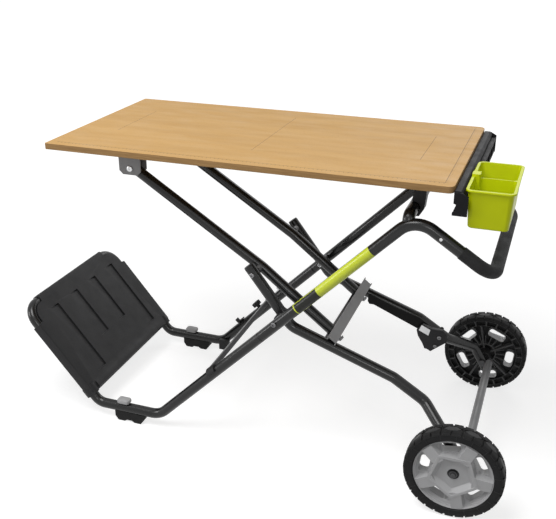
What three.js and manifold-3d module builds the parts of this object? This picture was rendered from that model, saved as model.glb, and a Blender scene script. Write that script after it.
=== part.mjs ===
import * as THREE from "three";
import { mergeVertices } from "three/addons/utils/BufferGeometryUtils.js";
import Module from "manifold-3d";

const wasm = await Module();
wasm.setup();

// Sizes in millimetres. X runs along the worktop, Y across it, Z up from the floor.
const GAP = 0.3;
const SIDES = [["near", -1], ["far", 1]];

// Worktop board
const TOP_LEFT = -503;
const TOP_RIGHT = 500;
const TOP_WIDTH = 522;
const TOP_HEIGHT = 800;
const TOP_THICK = 16;
const TOP_LEFT_CORNER = 4;
const TOP_RIGHT_CORNER = 14;
const TOP_UNDER = TOP_HEIGHT - TOP_THICK;

// Round steel tube of the frames
const TUBE_RADIUS = 14;
const TUBE_BORE = 12.2;
const TUBE_FACETS = 12;
const BEND_STEPS = 3;
const SEAT = TUBE_RADIUS + GAP;

// Half spacing of the three nested frames
const FRAME_Y = 222;
const LEG_Y = 170;
const STRUT_Y = 121;

// Pivots, as x and z
const LEG_PIVOT = { x: 88, z: 388 };
const KNEE = { x: 12, z: 488 };
const STRUT_PIVOT = { x: -340, z: 715 };
const TOP_PIVOT = { x: 400.5, z: 709 };

// Bends of the main frame, as x and z
const FRAME_SEAM = { x: 49, z: 341 };
const FRAME_PEAK = { x: 417, z: 709 };
const HANDLE_BAR = { x: 598, z: 590 };
const FOOT_BEND = { x: -254, z: 38 };
const TOE_BEND = { x: -444, z: 38 };
const TOE_TOP = { x: -654.3, z: 294.2 };
const PEAK_BEND_RADIUS = 60;
const HANDLE_BEND_RADIUS = 45;
const FOOT_BEND_RADIUS = 60;
const TOE_BEND_RADIUS = 40;
const GRIP_START_X = 523;
const GRIP_RADIUS = 16.2;
const SPLICE_HALF = 40;
const SPLICE_BORE = 9.8;

// Bends of the wheel legs, as x and z
const LEG_TOP = { x: -1.3, z: 505.5 };
const LEG_BEND_1 = { x: 112.5, z: 355.8 };
const LEG_BEND_2 = { x: 381.5, z: 260.6 };
const LEG_BEND_3 = { x: 462.8, z: 209.3 };
const LEG_BEND_4 = { x: 535, z: 158 };
const LEG_END = { x: 572.5, z: 94 };
const LEG_BEND_RADIUS = 50;
const SPLAY_BEND_RADIUS = 34;
const SPLAY_Y = 240;

// Wheels and axle
const AXLE = { x: 562.7, z: 118.5 };
const AXLE_RADIUS = 6;
const AXLE_HOLE = 6.8;
const AXLE_END = 319;
const BRACE = { x: 580, z: 117 };
const BRACE_RADIUS = 11;
const BRACE_BORE = 9.4;
const WHEEL_RADIUS = 118.5;
const WHEEL_Y = 301;
const WHEEL_FACETS = 24;
const RIM_RADIUS = 95;
const TYRE_HALF = 22.5;
const WINDOW_COUNT = 5;

// Strut bends, as x and z
const STRUT_BEND = { x: 17, z: 484.8 };
const STRUT_END = { x: 222, z: 323.4 };
const STRUT_BEND_RADIUS = 150;

// Fasteners
const BOLT_RADIUS = 4;
const HOLE_RADIUS = 4.5;
const HEAD_RADIUS = 6.5;
const HEAD_HEIGHT = 4;
const STRUT_HEAD_RADIUS = 8;
const BOLT_FACETS = 12;
const NUT_FACETS = 6;

// Accessory rail and bin
const RAIL_HALF = 258;
const BIN = { x0: 522, x1: 626, y0: -257, y1: -35, bottom: 706, rim: 795 };
const BIN_WALL = 2.6;
const BIN_TAPER = 0.9;
const BIN_RIM = 4;

const LOOKS = {
  frame: { color: 0x3f3f41, roughness: 0.42, metalness: 0.55 },
  steel: { color: 0xb4b6b8, roughness: 0.32, metalness: 0.9 },
  channel: { color: 0x808184, roughness: 0.45, metalness: 0.6 },
  board: { color: 0xc39b66, roughness: 0.78, metalness: 0 },
  plastic: { color: 0x2b2b2d, roughness: 0.6, metalness: 0 },
  rubber: { color: 0x161616, roughness: 0.85, metalness: 0 },
  rail: { color: 0x35323a, roughness: 0.5, metalness: 0 },
  bin: { color: 0xb5c011, roughness: 0.45, metalness: 0 },
  hub: { color: 0x8a8b8c, roughness: 0.55, metalness: 0 },
};

const bench = new THREE.Group();
bench.name = "folding_workbench";

function add(name, geometry, look) {
  const mesh = new THREE.Mesh(geometry, new THREE.MeshStandardMaterial(LOOKS[look]));
  mesh.name = name;
  bench.add(mesh);
}

// Joining and cutting of solids
function solidOf(geometry) {
  const plain = geometry.index ? geometry.toNonIndexed() : geometry.clone();
  plain.deleteAttribute("normal");
  plain.deleteAttribute("uv");
  const merged = mergeVertices(plain, 1e-4);
  const triVerts = new Uint32Array(merged.index.array);
  const vertProperties = merged.attributes.position.array;
  return new wasm.Manifold(new wasm.Mesh({ numProp: 3, vertProperties, triVerts }));
}

function geometryOf(solid) {
  const mesh = solid.getMesh();
  const geometry = new THREE.BufferGeometry();
  geometry.setAttribute("position", new THREE.BufferAttribute(mesh.vertProperties, 3));
  geometry.setIndex(new THREE.BufferAttribute(mesh.triVerts, 1));
  geometry.computeVertexNormals();
  return geometry;
}

function join(first, ...others) {
  return geometryOf(others.reduce((body, other) => body.add(solidOf(other)), solidOf(first)));
}

function cut(first, ...tools) {
  return geometryOf(tools.reduce((body, tool) => body.subtract(solidOf(tool)), solidOf(first)));
}

// A bent route: one station at each end and several round each bend
class Route extends THREE.Curve {
  constructor(corners, radii) {
    super();
    const last = corners.length - 1;
    const heading = (from) => corners[from + 1].clone().sub(corners[from]).normalize();
    this.stations = [{ place: corners[0].clone(), along: heading(0) }];
    for (let i = 1; i < last; i += 1) {
      this.addBend(corners[i], heading(i - 1), heading(i), radii[i - 1]);
    }
    this.stations.push({ place: corners[last].clone(), along: heading(last - 1) });
  }

  addBend(corner, arrive, leave, radius) {
    const turn = arrive.angleTo(leave);
    const axis = arrive.clone().cross(leave).normalize();
    const inward = leave.clone().sub(arrive).normalize();
    const centre = corner.clone().addScaledVector(inward, radius / Math.cos(turn / 2));
    const start = corner.clone().addScaledVector(arrive, -radius * Math.tan(turn / 2));
    const arm = start.sub(centre);
    for (let step = 0; step <= BEND_STEPS; step += 1) {
      const angle = (turn * step) / BEND_STEPS;
      const place = arm.clone().applyAxisAngle(axis, angle).add(centre);
      this.stations.push({ place, along: arrive.clone().applyAxisAngle(axis, angle) });
    }
  }

  station(t) {
    return this.stations[Math.round(t * (this.stations.length - 1))];
  }

  getPoint(t, target = new THREE.Vector3()) {
    return target.copy(this.station(t).place);
  }

  getPointAt(t, target = new THREE.Vector3()) {
    return target.copy(this.station(t).place);
  }

  getTangentAt(t, target = new THREE.Vector3()) {
    return target.copy(this.station(t).along);
  }
}

function disc(radius, bore) {
  const shape = new THREE.Shape();
  shape.absarc(0, 0, radius, 0, 2 * Math.PI);
  if (bore > 0) {
    const hole = new THREE.Path();
    hole.absarc(0, 0, bore, 0, 2 * Math.PI, true);
    shape.holes.push(hole);
  }
  return shape;
}

function tube(route, radius, bore) {
  const options = {
    extrudePath: route,
    steps: route.stations.length - 1,
    curveSegments: TUBE_FACETS / 2,
  };
  return new THREE.ExtrudeGeometry(disc(radius, bore), options);
}

function at(spot, y) {
  return new THREE.Vector3(spot.x, y, spot.z);
}

function shifted(spot, direction, distance) {
  return { x: spot.x + direction.x * distance, z: spot.z + direction.z * distance };
}

function headingOf(from, to) {
  const length = Math.hypot(to.x - from.x, to.z - from.z);
  return { x: (to.x - from.x) / length, z: (to.z - from.z) / length };
}

// Solids that lie along Y
function rodY(spot, y0, y1, radius, facets = BOLT_FACETS) {
  const rod = new THREE.CylinderGeometry(radius, radius, Math.abs(y1 - y0), facets);
  return rod.translate(spot.x, (y0 + y1) / 2, spot.z);
}

function ringY(spot, y0, y1, radius, bore, facets = BOLT_FACETS) {
  const low = Math.min(y0, y1);
  const high = Math.max(y0, y1);
  const corners = [[bore, low], [radius, low], [radius, high], [bore, high], [bore, low]];
  const profile = corners.map(([r, y]) => new THREE.Vector2(r, y));
  return new THREE.LatheGeometry(profile, facets).translate(spot.x, 0, spot.z);
}

function plateY(outline, y0, y1) {
  const shape = new THREE.Shape(outline.map(([x, z]) => new THREE.Vector2(x, z)));
  const plate = new THREE.ExtrudeGeometry(shape, { depth: y1 - y0, bevelEnabled: false });
  return plate.rotateX(Math.PI / 2).translate(0, y1, 0);
}

function boxAt(x0, x1, y0, y1, z0, z1) {
  const box = new THREE.BoxGeometry(x1 - x0, y1 - y0, z1 - z0);
  return box.translate((x0 + x1) / 2, (y0 + y1) / 2, (z0 + z1) / 2);
}

// Rectangle with rounded corners, radii in order round from the low corner
function roundedShape(x0, x1, y0, y1, radii) {
  const [a, b, c, d] = radii;
  const shape = new THREE.Shape();
  shape.moveTo(x0 + a, y0);
  shape.lineTo(x1 - b, y0);
  shape.absarc(x1 - b, y0 + b, b, -Math.PI / 2, 0);
  shape.lineTo(x1, y1 - c);
  shape.absarc(x1 - c, y1 - c, c, 0, Math.PI / 2);
  shape.lineTo(x0 + d, y1);
  shape.absarc(x0 + d, y1 - d, d, Math.PI / 2, Math.PI);
  shape.lineTo(x0, y0 + a);
  shape.absarc(x0 + a, y0 + a, a, Math.PI, 1.5 * Math.PI);
  return shape;
}

function evenCorners(radius) {
  return [radius, radius, radius, radius];
}

function slab(shape, z0, z1, curveSegments = 4) {
  const options = { depth: z1 - z0, bevelEnabled: false, curveSegments };
  return new THREE.ExtrudeGeometry(shape, options).translate(0, 0, z0);
}

// Main frame: a handle tube above the seam and a toe loop below it, spliced together
const FRAME_UP = headingOf(FOOT_BEND, FRAME_PEAK);
const FRAME_OUT = { x: -FRAME_UP.z, z: FRAME_UP.x };
const seamAbove = shifted(FRAME_SEAM, FRAME_UP, GAP / 2);
const seamBelow = shifted(FRAME_SEAM, FRAME_UP, -GAP / 2);
const handleRoute = new Route(
  [
    at(seamAbove, -FRAME_Y),
    at(FRAME_PEAK, -FRAME_Y),
    at(HANDLE_BAR, -FRAME_Y),
    at(HANDLE_BAR, FRAME_Y),
    at(FRAME_PEAK, FRAME_Y),
    at(seamAbove, FRAME_Y),
  ],
  [PEAK_BEND_RADIUS, HANDLE_BEND_RADIUS, HANDLE_BEND_RADIUS, PEAK_BEND_RADIUS],
);
const loopRoute = new Route(
  [
    at(seamBelow, -FRAME_Y),
    at(FOOT_BEND, -FRAME_Y),
    at(TOE_BEND, -FRAME_Y),
    at(TOE_TOP, -FRAME_Y),
    at(TOE_TOP, FRAME_Y),
    at(TOE_BEND, FRAME_Y),
    at(FOOT_BEND, FRAME_Y),
    at(seamBelow, FRAME_Y),
  ],
  [
    FOOT_BEND_RADIUS,
    TOE_BEND_RADIUS,
    HANDLE_BEND_RADIUS,
    HANDLE_BEND_RADIUS,
    TOE_BEND_RADIUS,
    FOOT_BEND_RADIUS,
  ],
);
const FRAME_REACH = FRAME_Y + 2 * TUBE_RADIUS;
const pivotBore = rodY(LEG_PIVOT, -FRAME_REACH, FRAME_REACH, HOLE_RADIUS);
add("handle_tube", cut(tube(handleRoute, TUBE_RADIUS, TUBE_BORE), pivotBore), "frame");
add("toe_loop_tube", tube(loopRoute, TUBE_RADIUS, TUBE_BORE), "frame");
for (const [side, sign] of SIDES) {
  const low = at(shifted(FRAME_SEAM, FRAME_UP, -SPLICE_HALF), sign * FRAME_Y);
  const high = at(shifted(FRAME_SEAM, FRAME_UP, SPLICE_HALF), sign * FRAME_Y);
  const splice = new Route([low, high], []);
  add(`frame_splice_${side}`, tube(splice, TUBE_BORE - 2 * GAP, SPLICE_BORE), "steel");
}

// Foam grip round the handle
const gripSlope = headingOf(FRAME_PEAK, HANDLE_BAR);
const gripStart = shifted(HANDLE_BAR, gripSlope, (GRIP_START_X - HANDLE_BAR.x) / gripSlope.x);
const gripRoute = new Route(
  [
    at(gripStart, -FRAME_Y),
    at(HANDLE_BAR, -FRAME_Y),
    at(HANDLE_BAR, FRAME_Y),
    at(gripStart, FRAME_Y),
  ],
  [HANDLE_BEND_RADIUS, HANDLE_BEND_RADIUS],
);
add("handle_grip", tube(gripRoute, GRIP_RADIUS, TUBE_RADIUS + GAP), "rubber");

// Upper cross tube, its ends turned down and coped onto the main frame, on which the worktop hinges
const CROSS_END = 216;
const CROSS_DROP = 22;
const CROSS_BEND_RADIUS = 15;
const crossFoot = { x: TOP_PIVOT.x, z: TOP_PIVOT.z - CROSS_DROP };
const crossRoute = new Route(
  [
    at(crossFoot, -CROSS_END),
    at(TOP_PIVOT, -CROSS_END),
    at(TOP_PIVOT, CROSS_END),
    at(crossFoot, CROSS_END),
  ],
  [CROSS_BEND_RADIUS, CROSS_BEND_RADIUS],
);
const crossTube = cut(
  tube(crossRoute, TUBE_RADIUS, TUBE_BORE),
  tube(handleRoute, TUBE_RADIUS + GAP, 0),
);
add("upper_cross_tube", crossTube, "frame");

// Parts laid on the main frame: u runs up the tube from the foot bend, n stands off its upper side
function onFrame(geometry, u, y) {
  const basis = new THREE.Matrix4().makeBasis(
    new THREE.Vector3(FRAME_UP.x, 0, FRAME_UP.z),
    new THREE.Vector3(0, 1, 0),
    new THREE.Vector3(FRAME_OUT.x, 0, FRAME_OUT.z),
  );
  const foot = shifted(FOOT_BEND, FRAME_UP, u);
  return geometry.applyMatrix4(basis.setPosition(foot.x, y, foot.z));
}
const BAR_HALF = 9;
const BAR_THICK = 4;
const BAR_Y = 228;
const BAR_U = 243;
const BAR_FLANGE = { thick: 3, drop: 8, half: 206 };
const barStrap = boxAt(-BAR_HALF, BAR_HALF, -BAR_Y, BAR_Y, SEAT, SEAT + BAR_THICK);
const barFlange = boxAt(
  BAR_HALF - BAR_FLANGE.thick,
  BAR_HALF,
  -BAR_FLANGE.half,
  BAR_FLANGE.half,
  SEAT - BAR_FLANGE.drop,
  SEAT + 1,
);
add("lower_cross_bar", onFrame(join(barStrap, barFlange), BAR_U, 0), "channel");

// Latch hook and clip on the far tube: a foot with an upright horn at one end
const HOOK = { u: 107, length: 24, half: 8, foot: 4, horn: 14, hornThick: 5 };
const CLIP = { u: 280, length: 22, half: 7, foot: 3, horn: 12, hornThick: 3 };

function fitting({ length, half, foot, horn, hornThick }) {
  const base = boxAt(-length / 2, length / 2, -half, half, SEAT, SEAT + foot);
  const upright = boxAt(length / 2 - hornThick, length / 2, -half, half, SEAT, SEAT + horn);
  return join(base, upright);
}
add("latch_hook", onFrame(fitting(HOOK).rotateZ(Math.PI), HOOK.u, FRAME_Y), "plastic");
add("latch_clip", onFrame(fitting(CLIP), CLIP.u, FRAME_Y), "steel");

// Turning knob on the far tube: a lobed head on a neck
const KNOB = { u: 192, radius: 14, low: 4.5, high: 17.5, neck: 6, lobes: 6 };
const KNOB_NOTCH = { radius: 4, reach: 15.6, facets: 8 };
const KNOB_FACETS = 18;

function postZ(radius, low, high, facets) {
  const post = new THREE.CylinderGeometry(radius, radius, high - low, facets);
  return post.rotateX(Math.PI / 2).translate(0, 0, (low + high) / 2);
}
const knobNotches = [];
for (let lobe = 0; lobe < KNOB.lobes; lobe += 1) {
  const angle = (2 * Math.PI * lobe) / KNOB.lobes;
  const notch = postZ(KNOB_NOTCH.radius, KNOB.low - 1, KNOB.high + 1, KNOB_NOTCH.facets);
  const place = [KNOB_NOTCH.reach * Math.cos(angle), KNOB_NOTCH.reach * Math.sin(angle), 0];
  knobNotches.push(notch.translate(...place));
}
const knobHead = cut(postZ(KNOB.radius, KNOB.low, KNOB.high, KNOB_FACETS), ...knobNotches);
const knob = join(knobHead, postZ(KNOB.neck, 0, KNOB.low + 1, BOLT_FACETS)).translate(0, 0, SEAT);
add("latch_knob", onFrame(knob, KNOB.u, FRAME_Y), "plastic");

// Stop block against the inside of the far foot bend
const BLOCK = { half: 17, shift: 14, thick: 14 };
const blockX = FOOT_BEND.x + BLOCK.shift;
const blockY = FRAME_Y - SEAT;
const stopBlock = boxAt(
  blockX - BLOCK.half,
  blockX + BLOCK.half,
  blockY - BLOCK.thick,
  blockY,
  FOOT_BEND.z - BLOCK.half,
  FOOT_BEND.z + BLOCK.half,
);
add("stop_block", stopBlock, "plastic");

// Rubber feet under the level part of the toe loop, with steel caps on top of the tube
const FOOT_X = -346;
const FOOT_OUTLINE = [
  [-43, 30],
  [-43, 13],
  [-34, 0],
  [-14, 0],
  [-7, 5],
  [9, 5],
  [16, 0],
  [36, 0],
  [46, 13],
  [46, 30],
];
const FOOT_HALF = 13;
const CAP = { x0: -384, x1: -344, half: 14, low: 45, top: 66 };
for (const [side, sign] of SIDES) {
  const y = sign * FRAME_Y;
  const outline = FOOT_OUTLINE.map(([x, z]) => [FOOT_X + x, z]);
  const foot = plateY(outline, y - FOOT_HALF, y + FOOT_HALF);
  add(`foot_pad_${side}`, cut(foot, tube(loopRoute, SEAT, 0)), "rubber");
  const cap = boxAt(CAP.x0, CAP.x1, y - CAP.half, y + CAP.half, CAP.low, CAP.top);
  add(`foot_cap_${side}`, cut(cap, tube(loopRoute, SEAT, 0)), "steel");
}

// Toe plate snapped over the toe loop: local X across, Y up the plate, Z out of its load face
const TOE_UP = headingOf(TOE_BEND, TOE_TOP);
const PLATE = { half: 239, low: 30, high: 348, back: -8, face: 17 };
const PLATE_BEVEL = 8;
const PLATE_CORNERS = [14, 14, 135, 135];
const PLATE_LIP = { half: 205, top: 52, face: 21 };
const PLATE_SKIN = 5;
const PLATE_RIM = 52;
const FLUTE_DEPTH = 2.5;
const FLUTE_HALF = 25;
const FLUTE_CORNER = 12;
const FLUTES = [
  { y: -150, low: 70, high: 293 },
  { y: -50, low: 141, high: 293 },
  { y: 50, low: 141, high: 293 },
  { y: 150, low: 70, high: 293 },
];
const plateFrame = new THREE.Matrix4()
  .makeBasis(
    new THREE.Vector3(0, 1, 0),
    new THREE.Vector3(TOE_UP.x, 0, TOE_UP.z),
    new THREE.Vector3(TOE_UP.z, 0, -TOE_UP.x),
  )
  .setPosition(TOE_BEND.x, 0, TOE_BEND.z);
const plateOutline = roundedShape(-PLATE.half, PLATE.half, PLATE.low, PLATE.high, PLATE_CORNERS);
const plateShell = new THREE.ExtrudeGeometry(plateOutline, {
  depth: PLATE.face - PLATE.back - 2 * PLATE_BEVEL,
  bevelThickness: PLATE_BEVEL,
  bevelSize: PLATE_BEVEL,
  bevelOffset: -PLATE_BEVEL,
  bevelSegments: 2,
  curveSegments: 5,
}).translate(0, 0, PLATE.back + PLATE_BEVEL);
const lip = boxAt(-PLATE_LIP.half, PLATE_LIP.half, PLATE.low, PLATE_LIP.top, 0, PLATE_LIP.face);
const pocket = boxAt(
  -PLATE.half + PLATE_RIM,
  PLATE.half - PLATE_RIM,
  PLATE_LIP.top,
  PLATE.high - PLATE_RIM,
  PLATE.back - 1,
  PLATE.face - PLATE_SKIN - FLUTE_DEPTH,
);
const flutes = FLUTES.map(({ y, low, high }) => {
  const corners = evenCorners(FLUTE_CORNER);
  const outline = roundedShape(y - FLUTE_HALF, y + FLUTE_HALF, low, high, corners);
  return slab(outline, PLATE.face - FLUTE_DEPTH, PLATE.face + 1, 2);
});
const plateInPlace = cut(join(plateShell, lip), pocket, ...flutes).applyMatrix4(plateFrame);
add("toe_plate", cut(plateInPlace, tube(loopRoute, SEAT, 0)), "plastic");

// Bolts that lie along Y: the head faces away from the middle of the bench
function boltY(spot, sign, headFace, tip, headRadius = HEAD_RADIUS) {
  const head = rodY(spot, sign * headFace, sign * (headFace + HEAD_HEIGHT), headRadius);
  const shank = rodY(spot, sign * tip, sign * (headFace + 1), BOLT_RADIUS);
  return join(head, shank);
}

// Main pivots: bolt through the frame tube, spacer, wheel leg and nut
const FRAME_OUTSIDE = FRAME_Y + TUBE_RADIUS + GAP;
const FRAME_INSIDE = FRAME_Y - TUBE_RADIUS - GAP;
const LEG_OUTSIDE = LEG_Y + TUBE_RADIUS + GAP;
const LEG_INSIDE = LEG_Y - TUBE_RADIUS - GAP;
const NUT_HEIGHT = 8;
const SPACER_RADIUS = 10;
for (const [side, sign] of SIDES) {
  add(`pivot_bolt_${side}`, boltY(LEG_PIVOT, sign, FRAME_OUTSIDE, LEG_INSIDE - NUT_HEIGHT), "steel");
  const spacerEnds = [sign * FRAME_INSIDE, sign * LEG_OUTSIDE];
  add(`pivot_spacer_${side}`, ringY(LEG_PIVOT, ...spacerEnds, SPACER_RADIUS, HOLE_RADIUS), "steel");
  const nutEnds = [sign * LEG_INSIDE, sign * (LEG_INSIDE - NUT_HEIGHT)];
  const nut = rodY(LEG_PIVOT, ...nutEnds, HEAD_RADIUS, NUT_FACETS);
  add(`pivot_nut_${side}`, cut(nut, pivotBore), "steel");
}

// Wheel legs, splayed outwards below the third bend, with a brace tube coped between them
const legRoutes = SIDES.map(([, sign]) => {
  const corners = [
    at(LEG_TOP, sign * LEG_Y),
    at(LEG_BEND_1, sign * LEG_Y),
    at(LEG_BEND_2, sign * LEG_Y),
    at(LEG_BEND_3, sign * LEG_Y),
    at(LEG_BEND_4, sign * SPLAY_Y),
    at(LEG_END, sign * SPLAY_Y),
  ];
  const radii = [LEG_BEND_RADIUS, LEG_BEND_RADIUS, SPLAY_BEND_RADIUS, SPLAY_BEND_RADIUS];
  return new Route(corners, radii);
});
const SPLAY_INSIDE = SPLAY_Y - TUBE_RADIUS - GAP;
const AXLE_HEAD = 7;
const AXLE_HEAD_RADIUS = 10;
const kneeBore = rodY(KNEE, -FRAME_Y, FRAME_Y, HOLE_RADIUS);
const axleBore = rodY(AXLE, -WHEEL_Y, WHEEL_Y, AXLE_HOLE);
SIDES.forEach(([side, sign], index) => {
  const leg = cut(tube(legRoutes[index], TUBE_RADIUS, TUBE_BORE), pivotBore, kneeBore, axleBore);
  add(`wheel_leg_${side}`, leg, "frame");
  add(`knee_bolt_${side}`, boltY(KNEE, sign, LEG_OUTSIDE, LEG_INSIDE + GAP), "steel");
  const axle = join(
    rodY(AXLE, sign * (SPLAY_INSIDE - AXLE_HEAD), sign * SPLAY_INSIDE, AXLE_HEAD_RADIUS),
    rodY(AXLE, sign * (SPLAY_INSIDE - 1), sign * AXLE_END, AXLE_RADIUS),
  );
  add(`stub_axle_${side}`, axle, "steel");
});
const BRACE_FACETS = 14;
const headClear = SPLAY_INSIDE - AXLE_HEAD - 5;
const braceTube = cut(
  ringY(BRACE, -SPLAY_Y, SPLAY_Y, BRACE_RADIUS, BRACE_BORE, BRACE_FACETS),
  ...legRoutes.map((route) => tube(route, SEAT, 0)),
  ...SIDES.map(([, sign]) => rodY(AXLE, sign * headClear, sign * SPLAY_Y, AXLE_HEAD_RADIUS + 1)),
);
add("leg_brace_tube", braceTube, "channel");

// Wheels: tyre, core and outer cover. A profile is radius and distance out from the wheel's middle
const TYRE_PROFILE = [
  [RIM_RADIUS, -17.2],
  [107.4, -17.2],
  [107.4, -21.8],
  [112, -21.5],
  [WHEEL_RADIUS, -16],
  [WHEEL_RADIUS, 16],
  [111, 21.5],
  [98, TYRE_HALF],
  [RIM_RADIUS, 20],
];
const CORE_PROFILE = [
  [AXLE_HOLE, -46],
  [17, -46],
  [21, -3],
  [88.5, -3],
  [88.5, -21],
  [107, -21],
  [107, -17.6],
  [RIM_RADIUS - 2 * GAP, -17.6],
  [RIM_RADIUS - 2 * GAP, 14],
  [89.5, 14],
  [89.5, 4],
  [20, 4],
  [20, 12],
  [AXLE_HOLE, 12],
];
const COVER_PROFILE = [
  [14, 12.6],
  [89, 12.6],
  [89, 14.3],
  [RIM_RADIUS - 2 * GAP, 14.3],
  [RIM_RADIUS - 2 * GAP, 18.4],
  [88, 19.4],
  [70, 20.6],
  [52, 22],
  [14, 22],
];
const AXLE_NUT = { radius: 10, low: 12.6, high: 15.6 };

function turned(profile, sign, facets) {
  const closed = [...profile, profile[0]].map(([r, y]) => new THREE.Vector2(r, y));
  const body = new THREE.LatheGeometry(closed, facets);
  if (sign < 0) body.rotateX(Math.PI);
  return body.translate(AXLE.x, sign * WHEEL_Y, AXLE.z);
}

const CORE_WINDOW = { inner: 57, outer: 83, half: 26, corner: 9 };
const COVER_WINDOW = { inner: 58.5, outer: 81.5, half: 24.5, corner: 8 };
const WINDOW_REACH = 40;
const SPOKE_TURN = { near: THREE.MathUtils.degToRad(-11), far: THREE.MathUtils.degToRad(24) };
const BOSS_TURN = { near: 0, far: THREE.MathUtils.degToRad(13) };

// Copies of a cutter round the wheel, one to each gap between spokes
function roundWheel(side, sign, makeCutter) {
  const cutters = [];
  for (let i = 0; i < WINDOW_COUNT; i += 1) {
    const cutter = makeCutter();
    cutter.rotateY((2 * Math.PI * i) / WINDOW_COUNT + SPOKE_TURN[side]);
    cutters.push(cutter.translate(AXLE.x, sign * WHEEL_Y, AXLE.z));
  }
  return cutters;
}

function windows(side, sign, { inner, outer, half, corner }) {
  return roundWheel(side, sign, () => {
    const outline = roundedShape(-half, half, inner, outer, evenCorners(corner));
    return slab(outline, -WINDOW_REACH, WINDOW_REACH, 2).rotateX(Math.PI / 2);
  });
}

// Shallow pockets between the cover's spokes, and a five-sided recess round its bore
const POCKET_OUTLINE = [
  [-21, 53],
  [21, 53],
  [38, 76],
  [32, 81],
  [17, 85.5],
  [0, 87],
  [-17, 85.5],
  [-32, 81],
  [-38, 76],
];
const POCKET_FLOOR = 15;
const RECESS = { flat: 38, floor: 16 };

function coverPockets(side, sign) {
  const ends = [sign * POCKET_FLOOR, sign * WINDOW_REACH];
  return roundWheel(side, sign, () => plateY(POCKET_OUTLINE, Math.min(...ends), Math.max(...ends)));
}

function recess(side, sign) {
  const reach = RECESS.flat / Math.cos(Math.PI / WINDOW_COUNT);
  const outline = [];
  for (let i = 0; i < WINDOW_COUNT; i += 1) {
    const angle = (2 * Math.PI * i) / WINDOW_COUNT - Math.PI / 2;
    outline.push([reach * Math.cos(angle), reach * Math.sin(angle)]);
  }
  const ends = [sign * RECESS.floor, sign * WINDOW_REACH];
  const cutter = plateY(outline, Math.min(...ends), Math.max(...ends)).rotateY(BOSS_TURN[side]);
  return cutter.translate(AXLE.x, sign * WHEEL_Y, AXLE.z);
}

for (const [side, sign] of SIDES) {
  add(`tyre_${side}`, turned(TYRE_PROFILE, sign, WHEEL_FACETS), "rubber");
  const core = turned(CORE_PROFILE, sign, WHEEL_FACETS);
  add(`wheel_core_${side}`, cut(core, ...windows(side, sign, CORE_WINDOW)), "plastic");
  const cover = turned(COVER_PROFILE, sign, WHEEL_FACETS);
  const openings = [...windows(side, sign, COVER_WINDOW), ...coverPockets(side, sign), recess(side, sign)];
  add(`wheel_cover_${side}`, cut(cover, ...openings), "hub");
  const nutEnds = [sign * (WHEEL_Y + AXLE_NUT.low), sign * (WHEEL_Y + AXLE_NUT.high)];
  add(`axle_nut_${side}`, ringY(AXLE, ...nutEnds, AXLE_NUT.radius, AXLE_HOLE), "steel");
}

// Pedal latch on the inside of the far wheel leg, carried by a long plate that reaches up to the stop channel
const PEDAL_PIVOT = { x: 445, z: 223 };
const PEDAL_PIN = { x: 435, z: 195 };
const PEDAL_Y = { low: 138, high: 149 };
const PEDAL_OUTLINE = [
  [380, 237],
  [388, 248],
  [397, 257],
  [421, 247],
  [452, 247],
  [462, 240],
  [466, 227],
  [466, 212],
  [423, 176],
  [412, 182],
  [406, 182],
  [398, 199],
  [385, 219],
];
const LATCH_PLATE_OUTLINE = [
  [234, 317],
  [244, 319],
  [314, 292],
  [384, 270],
  [420, 246],
  [456, 236],
  [460, 216],
  [440, 201],
  [414, 206],
  [392, 224],
  [381, 235],
  [251, 289],
  [238, 289],
  [233, 297],
];
const LATCH_PLATE_Y = { low: 149.4, high: 155.4 };
const PEDAL_BOLT_HEAD = { radius: 6, height: 3 };
const PEDAL_PIN_SHANK = 3.2;
const PEDAL_PIN_HEAD = { radius: 5, height: 3 };
const throughPedal = rodY(PEDAL_PIVOT, STRUT_Y, FRAME_Y, HOLE_RADIUS);
const throughPin = rodY(PEDAL_PIN, STRUT_Y, PEDAL_Y.high + GAP, PEDAL_PIN_SHANK + GAP);
const pedal = plateY(PEDAL_OUTLINE, PEDAL_Y.low, PEDAL_Y.high);
add("latch_pedal", cut(pedal, throughPedal, throughPin), "plastic");
const latchPlate = plateY(LATCH_PLATE_OUTLINE, LATCH_PLATE_Y.low, LATCH_PLATE_Y.high);
add("latch_plate", cut(latchPlate, throughPedal), "steel");

function pedalFastener(spot, head, shank, tip) {
  const face = PEDAL_Y.low - GAP;
  return join(
    rodY(spot, face - head.height, face, head.radius),
    rodY(spot, face - 1, tip, shank),
  );
}
const pedalBolt = pedalFastener(PEDAL_PIVOT, PEDAL_BOLT_HEAD, BOLT_RADIUS, LEG_INSIDE);
add("pedal_bolt", pedalBolt, "steel");
const pedalPin = pedalFastener(PEDAL_PIN, PEDAL_PIN_HEAD, PEDAL_PIN_SHANK, PEDAL_Y.high - 1);
add("pedal_pin", pedalPin, "steel");

// Struts from the worktop to the knee, tied at their lower ends by a channel that stops on the legs
const strutHeading = headingOf(STRUT_PIVOT, KNEE);
const STRUT_OVERHANG = 17;
const KNEE_SPACER_RADIUS = 11;
const strutTop = shifted(STRUT_PIVOT, strutHeading, -STRUT_OVERHANG);
const strutBore = rodY(STRUT_PIVOT, -FRAME_Y, FRAME_Y, HOLE_RADIUS);
const STRUT_OUTSIDE = STRUT_Y + TUBE_RADIUS + GAP;
for (const [side, sign] of SIDES) {
  const route = new Route(
    [at(strutTop, sign * STRUT_Y), at(STRUT_BEND, sign * STRUT_Y), at(STRUT_END, sign * STRUT_Y)],
    [STRUT_BEND_RADIUS],
  );
  add(`strut_${side}`, cut(tube(route, TUBE_RADIUS, TUBE_BORE), strutBore), "frame");
  const spacerEnds = [sign * STRUT_OUTSIDE, sign * (LEG_INSIDE - GAP)];
  add(`knee_spacer_${side}`, ringY(KNEE, ...spacerEnds, KNEE_SPACER_RADIUS, HOLE_RADIUS), "channel");
}

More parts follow.
